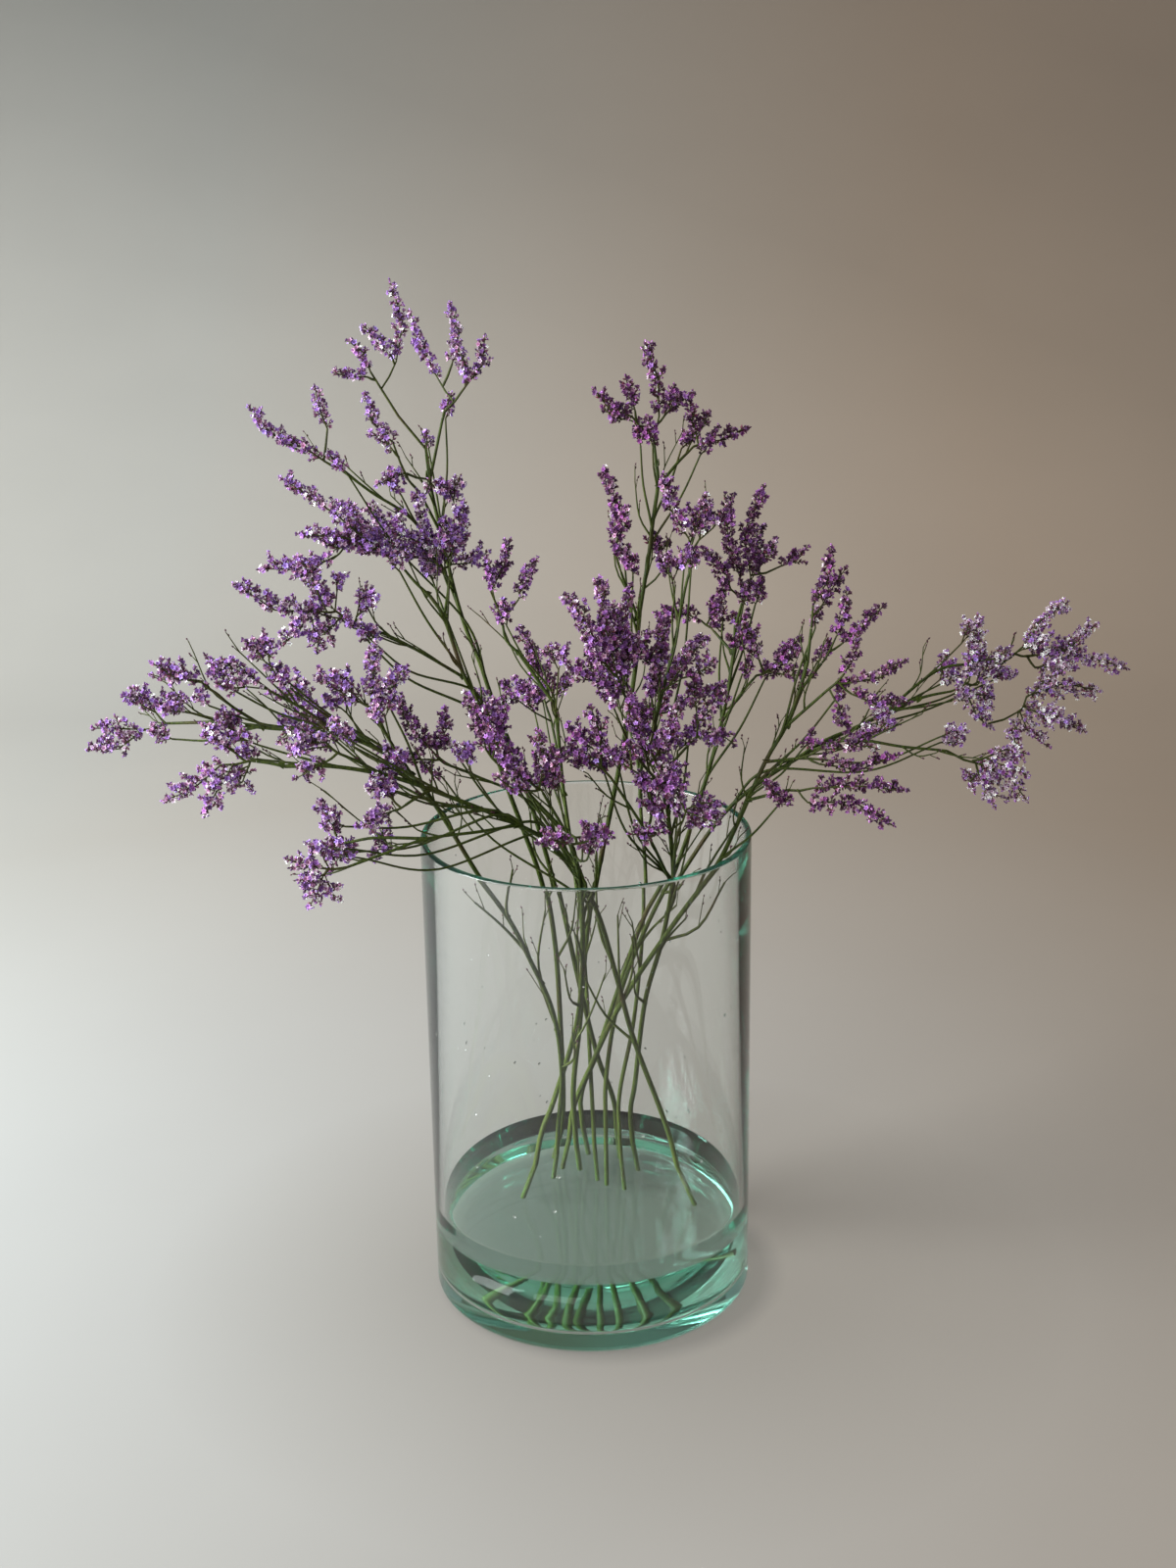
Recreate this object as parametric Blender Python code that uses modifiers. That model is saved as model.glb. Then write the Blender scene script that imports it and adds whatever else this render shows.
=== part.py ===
"""A loose bouquet of sea-lavender statice standing in water in a clear glass cylinder vase.

The vase stands on Z = 0 with its axis on Z, and the bouquet is seen from the front along +Y.
Every flower stem stands on the vase's floor, leans in its mouth and forks into thin twigs.
Each twig ends in a spray: a few heads, each a slim core that funnel-shaped florets stand out of.
Tables of the bouquet's shape are in millimetres, and everything else is in metres.
"""
import math
import random
from dataclasses import dataclass

import bmesh
import bpy
import numpy as np
from mathutils import Matrix, Vector

MM = 0.001
GAP = 0.3 * MM

# Vase: a thick-floored cylinder 200 mm across and 300 mm tall
VASE_RADIUS = 0.100
VASE_HEIGHT = 0.300
WALL = 0.004
FLOOR = 0.008
FOOT_ROUND = 0.0055
FLOOR_ROUND = 0.008
RIM_ROUND = 0.0016
VASE_STEPS = 36
ROUND_STEPS = 2

# Water, with a hole for each stem that starts below the vase's floor
WATER_LEVEL = 0.058
HOLE_SIDES = 6
HOLE_START = 0.010

# Green stems and twigs
STALK_SIDES_LEVEL = 1
TWIG_SIDES_LEVEL = 0
STALK_STEP = 0.042
TWIG_STEP = 0.030
STALK_TOP_RADIUS = 0.0011
STALK_TAPER = 1.5
TWIG_RADIUS = 0.0010
TWIG_END_RADIUS = 0.0008

# Flower sprays: the links between heads, their cores and their florets
LINK_RADIUS = 0.00075
LINK_START_RADIUS = 0.0003
LINK_RAKE = 0.007
NECK_LENGTH = 0.003
CORE_RADIUS = 0.0031
CORE_TIP_RADIUS = 0.0013
CORE_SWELL = 0.34
CORE_SIDES_LEVEL = 0
FLORET_LENGTH = 0.0086
FLORET_MOUTH = 0.0040
FLORET_SIDES = 3
FLORET_PITCH = 0.0066
FLORET_LEAN = math.radians(58)
FLORET_SPACE = 0.0060
FLORET_START = 0.16
FLORET_VARY = 0.1
FLORET_TAPER = 0.35
FLORET_RISE = 0.3
FLORET_WAIST = 0.3
TIP_ROOT = 0.93
TIP_LENGTH = 0.0030
TIP_MOUTH = 0.0024
GOLDEN_ANGLE = math.radians(137.5)

# How the heads keep clear of each other
CLEAR = 0.0006
SAMPLE = 0.002
JOINT_ZONE = 0.008
BEND_STEP = 0.003
BEND_RINGS = 5
BEND_TURNS = 8
BEND_ASIDE = 0.5
BEND_UP = 0.6
BEND_AT_BASE = 0.5
SEED = 11


@dataclass(frozen=True)
class Head:
    """One plume of florets, from the foot of its core to its tip, in millimetres."""
    base: tuple
    tip: tuple


@dataclass(frozen=True)
class Twig:
    """A side twig, its way out from the stalk in millimetres, and the spray at its end."""
    spray: str
    way: tuple
    heads: tuple


@dataclass(frozen=True)
class Stem:
    """A cut flower stem: its name, radius at the foot in millimetres, stalk and twigs."""
    name: str
    thick: float
    stalk: tuple
    twigs: tuple


STEMS = (
    Stem("stem_left_tall", 1.9, (
        (-26, 80, 9), (-19, 66, 75), (-19, 45, 144), (-21, 26, 210), (-27, 8, 262), (-37, 0, 299),
        (-47, -8, 333), (-63, -15, 389), (-69, -16, 401), (-80, -12, 436), (-88, -10, 449),
    ), (
        Twig("spray_left_crown", ((-88, -10, 449), (-96, -10, 457), (-103, -10, 466)), (
            Head((-110, -10, 473), (-138, -12, 505)), Head((-112, -14, 474), (-159, -28, 490)),
            Head((-116, -20, 479), (-166, -35, 523)), Head((-110, -5, 474), (-123, 5, 500)),
            Head((-140, -30, 476), (-179, -40, 473)))),
        Twig("spray_left_core", ((-80, -12, 436), (-78, 5, 450), (-79, 8, 456)), (
            Head((-80, 10, 463), (-68, 18, 498)), Head((-83, 8, 464), (-94, 0, 508)),
            Head((-85, 3, 466), (-108, -15, 488)), Head((-76, 14, 462), (-55, 25, 467)))),
        Twig("spray_left_droop", ((-69, -16, 401), (-93, -28, 420), (-109, -38, 432), (-123, -45, 440)), (
            Head((-139, -50, 451), (-150, -45, 466)), Head((-144, -55, 451), (-190, -70, 471)),
            Head((-152, -60, 452), (-169, -66, 435)), Head((-137, -50, 445), (-154, -40, 432)),
            Head((-127, -43, 446), (-119, -38, 460)))),
    )),
    Stem("stem_top_left", 1.8, (
        (20, 78, 9), (17, 68, 75), (5, 52, 122), (-6, 36, 179), (-20, 24, 256), (-37, 20, 324),
        (-55, 22, 377), (-62, 23, 400), (-70, 26, 421), (-76, 28, 443), (-83, 32, 477), (-88, 34, 503),
        (-89, 34, 514),
    ), (
        Twig("spray_top", ((-89, 34, 510), (-90, 33, 524)), (
            Head((-120, 28, 573), (-131, 22, 591)), Head((-122, 28, 570), (-140, 24, 573)),
            Head((-106, 42, 577), (-108, 45, 622)), Head((-108, 38, 580), (-123, 34, 598)))),
        Twig("spray_top_right", ((-89, 34, 508), (-80, 40, 544)), (
            Head((-66, 42, 562), (-54, 42, 590)), Head((-66, 46, 566), (-72, 36, 589)),
            Head((-83, 55, 565), (-98, 60, 603)), Head((-74, 50, 574), (-74, 52, 608)))),
        Twig("spray_crown_back", ((-83, 32, 477), (-93, 20, 502), (-98, 15, 510)), (
            Head((-107, 8, 535), (-121, 4, 563)), Head((-107, 9, 530), (-120, 14, 540)),
            Head((-101, 20, 515), (-117, 8, 511)), Head((-90, 28, 511), (-72, 44, 496)))),
        Twig("spray_left_tips", ((-76, 28, 443), (-95, 8, 487), (-120, -4, 509), (-135, -8, 522)), (
            Head((-145, -10, 528), (-169, -14, 540)), Head((-161, -12, 536), (-184, -18, 560)),
            Head((-143, -2, 545), (-149, 0, 568)))),
    )),
    Stem("stem_back_left", 1.5, (
        (4, 50, 9), (1, 54, 95), (-2, 60, 176), (-7, 70, 241), (-14, 79, 300), (-18, 81, 351),
        (-25, 82, 366), (-32, 83, 377), (-40, 84, 389),
    ), (
        Twig("spray_back_pair", ((-40, 84, 389), (-48, 84, 398), (-50, 85, 408)), (
            Head((-40, 92, 422), (-28, 95, 447)), Head((-57, 84, 430), (-44, 86, 461)))),
        Twig("spray_back_low", ((-13, 78, 296), (-20, 100, 334), (-24, 110, 346)), (
            Head((-29, 118, 362), (-40, 125, 396)), Head((-28, 117, 352), (-46, 132, 360)),
            Head((-20, 116, 352), (-8, 128, 366)))),
    )),
    Stem("stem_far_left", 1.6, (
        (-26, 54, 9), (-22, 38, 75), (-18, 8, 132), (-22, -18, 186), (-35, -38, 231), (-46, -52, 263),
        (-63, -69, 300), (-87, -78, 348), (-107, -82, 373), (-135, -82, 387), (-177, -78, 391),
        (-209, -72, 393),
    ), (
        Twig("spray_far_left_tip", ((-209, -72, 393), (-221, -69, 392), (-232, -66, 391)), (
            Head((-249, -62, 386), (-282, -55, 373)), Head((-241, -63, 397), (-255, -55, 408)))),
        Twig("spray_far_left_upper", ((-177, -78, 391), (-192, -92, 407), (-198, -95, 414)), (
            Head((-208, -98, 424), (-232, -104, 436)),)),
        Twig("spray_far_left_rise", ((-135, -82, 387), (-153, -92, 405), (-164, -96, 413)), (
            Head((-174, -98, 421), (-202, -100, 434)),)),
        Twig("spray_left_mass_outer", ((-107, -82, 373), (-130, -70, 386), (-139, -66, 391)), (
            Head((-147, -64, 397), (-177, -62, 406)), Head((-149, -62, 390), (-174, -56, 376)))),
        Twig("spray_left_mass_inner", ((-97, -80, 361), (-108, -91, 388), (-112, -94, 400)), (
            Head((-116, -96, 410), (-112, -100, 444)), Head((-121, -95, 409), (-146, -90, 423)))),
    )),
    Stem("stem_low_left", 1.8, (
        (68, 18, 9), (53, 25, 75), (29, 5, 154), (18, -14, 205), (5, -30, 259), (-16, -46, 303),
        (-38, -74, 330), (-85, -96, 359), (-111, -104, 371), (-138, -110, 378), (-163, -112, 379),
    ), (
        Twig("spray_low_left_tip", ((-163, -112, 379), (-171, -112, 381), (-178, -112, 382)), (
            Head((-197, -114, 381), (-227, -118, 362)), Head((-190, -112, 388), (-206, -108, 396)),
            Head((-184, -108, 376), (-194, -100, 364)))),
        Twig("spray_low_hang", ((-38, -74, 330), (-59, -96, 334), (-87, -112, 336), (-108, -122, 332),
                                (-127, -128, 327)), (
            Head((-143, -132, 327), (-161, -136, 334)), Head((-143, -130, 322), (-151, -132, 305)))),
        Twig("spray_low_side", ((-87, -112, 336), (-115, -112, 337), (-130, -110, 334)), (
            Head((-138, -108, 338), (-146, -104, 356)),)),
        Twig("spray_low_inner", ((-85, -96, 359), (-93, -108, 358), (-98, -113, 356)), (
            Head((-105, -117, 354), (-124, -122, 348)), Head((-106, -114, 361), (-118, -110, 366)))),
        Twig("spray_low_front", ((-111, -104, 371), (-122, -116, 382), (-130, -122, 388)), (
            Head((-138, -125, 396), (-157, -130, 405)), Head((-139, -125, 385), (-155, -128, 377)))),
    )),
    Stem("stem_front", 1.9, (
        (-46, 30, 9), (-34, 28, 75), (-24, 26, 104), (-8, 2, 168), (-3, -27, 231), (-4, -56, 290),
        (-11, -80, 327),
    ), (
        Twig("spray_front_dome", ((-11, -80, 327), (-20, -96, 350), (-23, -102, 358)), (
            Head((-30, -107, 366), (-50, -112, 398)), Head((-24, -109, 368), (-25, -114, 397)),
            Head((-30, -110, 362), (-48, -120, 374)))),
        Twig("spray_front_left", ((-11, -80, 327), (-36, -92, 360), (-46, -97, 372)), (
            Head((-54, -99, 383), (-64, -100, 415)), Head((-49, -101, 384), (-42, -104, 408)))),
        Twig("spray_mid_left", ((-4, -56, 290), (-30, -52, 334), (-62, -54, 353), (-77, -58, 361)), (
            Head((-86, -60, 370), (-108, -58, 405)), Head((-84, -58, 371), (-79, -52, 393)),
            Head((-89, -62, 366), (-118, -66, 374)))),
        Twig("spray_rim_front", ((-11, -80, 327), (-6, -100, 331), (-5, -107, 331)), (
            Head((-8, -115, 333), (-22, -122, 338)), Head((1, -115, 334), (14, -120, 340)))),
    )),
    Stem("stem_centre_tall", 1.9, (
        (-8, 64, 9), (-11, 53, 75), (-11, 44, 106), (-6, 33, 154), (-1, 20, 214), (6, 10, 263),
        (21, 0, 342), (31, 0, 402), (33, 0, 430), (39, 2, 466), (42, 4, 489), (45, 6, 509),
        (44, 8, 521),
    ), (
        Twig("spray_centre_top", ((44, 8, 519), (43, 8, 532)), (
            Head((30, 0, 549), (9, -6, 565)), Head((32, 0, 552), (27, 4, 570)),
            Head((46, 12, 547), (39, 14, 588)), Head((49, 12, 547), (65, 18, 559)))),
        Twig("spray_centre_right", ((45, 6, 507), (56, 14, 519), (64, 19, 526)), (
            Head((72, 22, 530), (96, 28, 537)), Head((68, 22, 534), (64, 22, 553)))),
        Twig("spray_centre_spike", ((33, 0, 430), (26, -8, 451), (23, -12, 461)), (
            Head((20, -14, 472), (14, -16, 522)), Head((21, -15, 482), (27, -18, 500)))),
    )),
    Stem("stem_centre_bush", 1.8, (
        (32, 62, 9), (27, 53, 75), (30, 42, 107), (36, 14, 176), (46, -10, 228), (51, -34, 276),
        (49, -50, 315), (44, -62, 355), (40, -68, 386),
    ), (
        Twig("spray_bush_left", ((44, -62, 355), (29, -78, 392), (24, -82, 405)), (
            Head((19, -85, 419), (10, -84, 474)), Head((14, -86, 424), (-8, -88, 466)),
            Head((23, -83, 419), (27, -76, 468)), Head((13, -87, 416), (-8, -94, 430)))),
        Twig("spray_bush_core", ((40, -68, 386), (42, -66, 399)), (
            Head((43, -64, 411), (43, -60, 444)), Head((49, -62, 408), (68, -54, 432)))),
        Twig("spray_bush_right", ((44, -62, 355), (57, -68, 372)), (
            Head((66, -70, 382), (84, -74, 376)), Head((64, -70, 388), (79, -68, 410)))),
        Twig("spray_bush_front", ((47, -56, 335), (40, -82, 358), (37, -89, 364)), (
            Head((34, -95, 377), (26, -98, 414)), Head((40, -95, 377), (53, -96, 409)),
            Head((39, -96, 370), (56, -106, 368)))),
        Twig("spray_bush_high", ((40, -68, 386), (53, -38, 429), (59, -30, 456), (62, -28, 466)), (
            Head((61, -30, 484), (47, -32, 521)), Head((67, -27, 483), (74, -22, 503)))),
        Twig("spray_bush_low", ((51, -34, 276), (35, -70, 322), (16, -96, 362)), (
            Head((7, -103, 377), (-14, -108, 384)), Head((9, -104, 380), (4, -104, 407)))),
        Twig("spray_rim_right", ((51, -34, 276), (51, -78, 318), (52, -92, 331)), (
            Head((56, -104, 348), (75, -108, 352)), Head((54, -104, 352), (51, -108, 376)),
            Head((46, -104, 336), (25, -110, 336)))),
    )),
    Stem("stem_right_tall", 1.8, (
        (-2, 84, 9), (-7, 77, 75), (5, 70, 114), (25, 60, 178), (38, 52, 217), (52, 45, 247),
        (70, 38, 303), (84, 34, 357), (91, 34, 400), (92, 34, 416),
    ), (
        Twig("spray_right_crown", ((92, 34, 416), (96, 34, 431)), (
            Head((101, 32, 447), (108, 30, 502)), Head((95, 31, 446), (85, 26, 498)),
            Head((89, 28, 441), (71, 18, 468)), Head((120, 45, 451), (136, 50, 461)),
            Head((106, 41, 448), (106, 52, 474)))),
        Twig("spray_right_arch", ((84, 34, 357), (96, 24, 379), (102, 19, 388)), (
            Head((110, 16, 393), (138, 14, 391)), Head((105, 16, 401), (96, 14, 423)),
            Head((115, 15, 399), (130, 20, 412)))),
        Twig("spray_right_back", ((91, 34, 400), (80, 46, 411)), (
            Head((72, 51, 417), (45, 56, 421)), Head((79, 53, 420), (88, 60, 438)))),
    )),
    Stem("stem_right_fan", 1.8, (
        (-20, 66, 9), (-13, 59, 75), (3, 46, 122), (22, 18, 176), (49, -27, 242), (75, -52, 294),
        (86, -60, 321), (103, -58, 360), (115, -52, 379), (123, -46, 398), (128, -42, 415),
    ), (
        Twig("spray_fan_tip", ((128, -42, 415), (130, -39, 433)), (
            Head((131, -37, 446), (141, -32, 478)), Head((136, -35, 445), (150, -28, 465)))),
        Twig("spray_fan_upper", ((123, -46, 398), (136, -41, 413)), (
            Head((144, -38, 427), (150, -34, 454)), Head((147, -38, 423), (172, -32, 444)))),
        Twig("spray_fan_middle", ((115, -52, 379), (135, -62, 401)), (
            Head((146, -65, 413), (154, -62, 438)), Head((150, -65, 408), (180, -64, 420)),
            Head((150, -67, 402), (182, -72, 398)), Head((143, -68, 396), (151, -76, 380)))),
        Twig("spray_fan_lower", ((103, -58, 360), (118, -78, 368)), (
            Head((131, -84, 375), (162, -86, 386)), Head((131, -86, 367), (174, -92, 374)))),
        Twig("spray_fan_front", ((93, -60, 338), (111, -90, 353)), (
            Head((126, -98, 357), (176, -108, 358)), Head((123, -102, 350), (168, -116, 341)),
            Head((108, -104, 355), (99, -114, 366)))),
    )),
    Stem("stem_far_right", 1.6, (
        (10, 44, 9), (10, 46, 75), (11, 48, 110), (20, 44, 164), (38, 28, 220), (61, 12, 271),
        (91, 6, 315), (137, 12, 345), (180, 25, 362), (202, 32, 370),
    ), (
        Twig("spray_far_right_low", ((202, 32, 370), (212, 34, 372), (221, 36, 373)), (
            Head((235, 38, 379), (240, 42, 407)), Head((241, 41, 376), (261, 46, 398)),
            Head((236, 37, 367), (249, 32, 351)), Head((268, 44, 358), (286, 40, 336)),
            Head((271, 47, 360), (311, 52, 342)), Head((273, 49, 366), (320, 58, 366)))),
        Twig("spray_far_right_tip", ((180, 25, 362), (218, 42, 386), (252, 52, 385)), (
            Head((271, 56, 396), (297, 60, 422)), Head((275, 57, 389), (317, 64, 407)),
            Head((279, 56, 382), (338, 66, 378)))),
        Twig("spray_far_right_drop", ((137, 12, 345), (159, -4, 356), (188, -10, 353), (211, -12, 351)), (
            Head((235, -13, 342), (263, -12, 319)), Head((237, -15, 347), (260, -18, 350)),
            Head((234, -12, 336), (245, -8, 314)))),
    )),
    Stem("stem_back_right", 1.5, (
        (22, 38, 9), (19, 40, 75), (20, 44, 101), (30, 53, 145), (37, 64, 201), (38, 76, 244),
        (35, 85, 300), (41, 102, 326),
    ), (
        Twig("spray_rear_left", ((36, 88, 305), (31, 104, 326), (28, 111, 334)), (
            Head((20, 118, 348), (2, 132, 388)), Head((27, 120, 350), (29, 127, 396)))),
        Twig("spray_rear_right", ((41, 102, 326), (46, 109, 337)), (
            Head((52, 113, 348), (76, 128, 388)), Head((48, 115, 349), (53, 120, 408)),
            Head((56, 115, 341), (94, 140, 350)))),
    )),
)


def clear_scene():
    """Removes every object, so that the model is built on an empty scene."""
    for thing in list(bpy.data.objects):
        bpy.data.objects.remove(thing, do_unlink=True)


def make_collection(name):
    """Returns a new collection linked to the scene."""
    group = bpy.data.collections.new(name)
    bpy.context.scene.collection.children.link(group)
    return group


def make_material(name, colour, roughness, alpha=1.0, transmission=0.0):
    """Returns a Principled material with one colour."""
    material = bpy.data.materials.new(name)
    material.use_nodes = True
    shader = material.node_tree.nodes["Principled BSDF"]
    shader.inputs["Base Color"].default_value = (*colour, 1.0)
    shader.inputs["Roughness"].default_value = roughness
    shader.inputs["Metallic"].default_value = 0.0
    shader.inputs["Alpha"].default_value = alpha
    shader.inputs["Transmission Weight"].default_value = transmission
    return material


def point(millimetres):
    """Returns a table's point in metres."""
    return Vector(millimetres) * MM


def smooth_way(points, step, straight_start=False):
    """Returns points about a step apart on a smooth curve through the given ones.

    The first stretch stays a straight line where straight_start is set.
    """
    way = [points[0]]
    for i in range(len(points) - 1):
        a, b = points[i], points[i + 1]
        if straight_start and i == 0:
            way.append(b)
            continue
        before = points[i - 1] if i else a - (b - a)
        after = points[i + 2] if i + 2 < len(points) else b + (b - a)
        count = max(1, round((b - a).length / step))
        for k in range(1, count + 1):
            t = k / count
            way.append(0.5 * ((2 * a) + (b - before) * t + (2 * before - 5 * a + 4 * b - after) * t ** 2
                              + (3 * a - before - 3 * b + after) * t ** 3))
    return way


class Room:
    """Keeps the space that grown pieces fill, as balls along their axes."""

    def __init__(self):
        self.centres = np.zeros((0, 3))
        self.radii = np.zeros(0)
        self.owners = np.zeros(0, dtype=int)

    @staticmethod
    def balls(a, b, radius_a, radius_b):
        """Returns the centres and radii of balls along one tapered stretch."""
        count = max(2, int((b - a).length / SAMPLE) + 2)
        share = np.linspace(0.0, 1.0, count)
        centres = np.outer(1 - share, a) + np.outer(share, b)
        return centres, (1 - share) * radius_a + share * radius_b

    def fill(self, owner, a, b, radius_a, radius_b):
        """Marks one stretch as filled by its owner."""
        centres, radii = self.balls(a, b, radius_a, radius_b)
        self.centres = np.vstack([self.centres, centres])
        self.radii = np.concatenate([self.radii, radii])
        self.owners = np.concatenate([self.owners, np.full(len(radii), owner)])

    def is_clear(self, owner, a, b, radius_a, radius_b, joint=None, stem=None):
        """Says whether a stretch keeps clear of all but its owner and, by the joint, its stem."""
        centres, radii = self.balls(a, b, radius_a, radius_b)
        others = self.owners != owner
        if joint is not None:
            near = np.linalg.norm(self.centres - np.array(joint), axis=1) < JOINT_ZONE
            others &= ~(near & (self.owners == stem))
        apart = np.linalg.norm(centres[:, None, :] - self.centres[None, others, :], axis=2)
        return bool((apart - radii[:, None] - self.radii[None, others] > CLEAR).all())


def mesh_object(name, mesh, group):
    """Returns a new object that holds a mesh."""
    thing = bpy.data.objects.new(name, mesh)
    group.objects.link(thing)
    return thing


def stick(group, a, b, radius_a, radius_b, sides, turn=0.0):
    """Makes a tapered stick between two points; a zero radius gives a sharp end."""
    mesh = bpy.data.meshes.new("stick")
    form = bmesh.new()
    bmesh.ops.create_cone(form, cap_ends=True, segments=sides, radius1=radius_a, radius2=radius_b,
                          depth=(b - a).length)
    place = Matrix.Translation((a + b) / 2) @ (b - a).to_track_quat("Z", "Y").to_matrix().to_4x4()
    form.transform(place @ Matrix.Rotation(turn, 4, "Z"))
    form.to_mesh(mesh)
    form.free()
    return mesh_object("stick", mesh, group)


def tube(group, way, radii, sides_level):
    """Makes a closed tapered tube along a way from a bevelled curve."""
    curve = bpy.data.curves.new("tube", "CURVE")
    curve.dimensions = "3D"
    curve.bevel_depth = 1.0
    curve.bevel_resolution = sides_level
    curve.use_fill_caps = True
    line = curve.splines.new("POLY")
    line.points.add(len(way) - 1)
    for node, place, radius in zip(line.points, way, radii):
        node.co = (*place, 1.0)
        node.radius = radius
    drawn = mesh_object("tube", curve, group)
    bpy.context.view_layer.update()
    shape = drawn.evaluated_get(bpy.context.evaluated_depsgraph_get())
    mesh = bpy.data.meshes.new_from_object(shape)
    bpy.data.objects.remove(drawn, do_unlink=True)
    form = bmesh.new()
    form.from_mesh(mesh)
    bmesh.ops.remove_doubles(form, verts=form.verts, dist=1e-6)
    bmesh.ops.recalc_face_normals(form, faces=form.faces)
    form.to_mesh(mesh)
    form.free()
    return mesh_object("tube", mesh, group)


def apply_modifiers(thing):
    """Gives an object the mesh that its modifiers make, and removes them."""
    shape = thing.evaluated_get(bpy.context.evaluated_depsgraph_get())
    mesh = bpy.data.meshes.new_from_object(shape)
    thing.modifiers.clear()
    thing.data = mesh


def keep_largest_body(mesh):
    """Drops any loose scrap that a union leaves."""
    form = bmesh.new()
    form.from_mesh(mesh)
    unseen = set(form.verts)
    bodies = []
    while unseen:
        body = set()
        edge = [unseen.pop()]
        while edge:
            vert = edge.pop()
            body.add(vert)
            for link in vert.link_edges:
                other = link.other_vert(vert)
                if other in unseen:
                    unseen.remove(other)
                    edge.append(other)
        bodies.append(body)
    bodies.sort(key=len)
    for body in bodies[:-1]:
        bmesh.ops.delete(form, geom=list(body), context="VERTS")
    bmesh.ops.triangulate(form, faces=form.faces)
    form.to_mesh(mesh)
    form.free()


def fuse(name, pieces, loose, group):
    """Joins overlapping closed pieces into one body, and removes the pieces."""
    body = pieces[0]
    loose.objects.unlink(body)
    group.objects.link(body)
    body.name = name
    if len(pieces) > 1:
        join = body.modifiers.new("union", "BOOLEAN")
        join.operation = "UNION"
        join.operand_type = "COLLECTION"
        join.collection = loose
        bpy.context.view_layer.update()
        apply_modifiers(body)
    for piece in pieces[1:]:
        bpy.data.objects.remove(piece, do_unlink=True)
    keep_largest_body(body.data)
    return body


def dress(thing, material, smooth_angle=None):
    """Gives an object its material, and smooth shading where it is round."""
    thing.data.materials.clear()
    thing.data.materials.append(material)
    if smooth_angle is not None:
        thing.data.shade_smooth()
        thing.data.set_sharp_from_angle(angle=smooth_angle)


def arc(centre_r, centre_z, radius, start, end):
    """Returns profile points round a corner, between two angles in degrees."""
    points = []
    for k in range(ROUND_STEPS + 1):
        angle = math.radians(start + (end - start) * k / ROUND_STEPS)
        points.append((centre_r + radius * math.cos(angle), centre_z + radius * math.sin(angle)))
    return points


def turned(name, profile, group):
    """Makes a turned shape from a profile of radius and height points."""
    mesh = bpy.data.meshes.new(name)
    form = bmesh.new()
    corners = [form.verts.new((radius, 0.0, height)) for radius, height in profile]
    for first, second in zip(corners, corners[1:]):
        form.edges.new((first, second))
    form.to_mesh(mesh)
    form.free()
    thing = mesh_object(name, mesh, group)
    turn = thing.modifiers.new("turn", "SCREW")
    turn.axis = "Z"
    turn.angle = math.tau
    turn.steps = VASE_STEPS
    turn.render_steps = VASE_STEPS
    turn.use_merge_vertices = True
    turn.merge_threshold = 1e-5
    return thing


def make_vase(group):
    """Makes the glass cylinder with its thick floor and rounded rim."""
    inner = VASE_RADIUS - WALL
    profile = [(0.0, FLOOR)]
    profile += arc(inner - FLOOR_ROUND, FLOOR + FLOOR_ROUND, FLOOR_ROUND, -90, 0)
    profile += arc(inner + RIM_ROUND, VASE_HEIGHT - RIM_ROUND, RIM_ROUND, 180, 90)
    profile += arc(VASE_RADIUS - RIM_ROUND, VASE_HEIGHT - RIM_ROUND, RIM_ROUND, 90, 0)
    profile += arc(VASE_RADIUS - FOOT_ROUND, FOOT_ROUND, FOOT_ROUND, 0, -90)
    profile.append((0.0, 0.0))
    return turned("vase", profile, group)


def make_water(group, cutters):
    """Makes the water, with a plain hole round each stem that stands in it."""
    rim = VASE_RADIUS - WALL - GAP
    bottom = FLOOR + GAP
    corner = FLOOR_ROUND - GAP
    profile = [(0.0, WATER_LEVEL), (rim, WATER_LEVEL)]
    profile += arc(rim - corner, bottom + corner, corner, 0, -90)
    profile.append((0.0, bottom))
    water = turned("water", profile, group)
    for stem in STEMS:
        foot, knee = point(stem.stalk[0]), point(stem.stalk[1])
        along = (knee - foot).normalized()
        radius = (stem.thick * MM + GAP) / math.cos(math.pi / HOLE_SIDES)
        hole = stick(cutters, foot - along * HOLE_START, knee, radius, radius, HOLE_SIDES)
        hole.name = stem.name + "_hole"
        hole.hide_render = True
        hole.display_type = "WIRE"
    cut = water.modifiers.new("holes", "BOOLEAN")
    cut.operation = "DIFFERENCE"
    cut.operand_type = "COLLECTION"
    cut.collection = cutters
    return water


def stalk_way(stem):
    """Returns the stalk's centre line and its radius at each point."""
    way = smooth_way([point(p) for p in stem.stalk], STALK_STEP, straight_start=True)
    foot_radius = stem.thick * MM
    run = [0.0]
    for a, b in zip(way, way[1:]):
        run.append(run[-1] + (b - a).length)
    slim = STALK_TOP_RADIUS - foot_radius
    radii = [foot_radius + slim * (r / run[-1]) ** STALK_TAPER for r in run]
    return way, radii


def nearest_on(ways, place):
    """Returns the point nearest to a place on any of the ways."""
    best = None
    for way in ways:
        for a, b in zip(way, way[1:]):
            share = max(0.0, min(1.0, (place - a).dot(b - a) / (b - a).length_squared))
            spot = a + (b - a) * share
            if best is None or (spot - place).length < (best - place).length:
                best = spot
    return best


def twig_ways(stem):
    """Returns each twig's centre line, from inside what it grows from to its end."""
    stalk, _ = stalk_way(stem)
    ways = []
    for twig in stem.twigs:
        points = [point(p) for p in twig.way]
        points[0] = nearest_on([stalk] + ways, points[0])
        ways.append(smooth_way(points, TWIG_STEP))
    return ways


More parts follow.
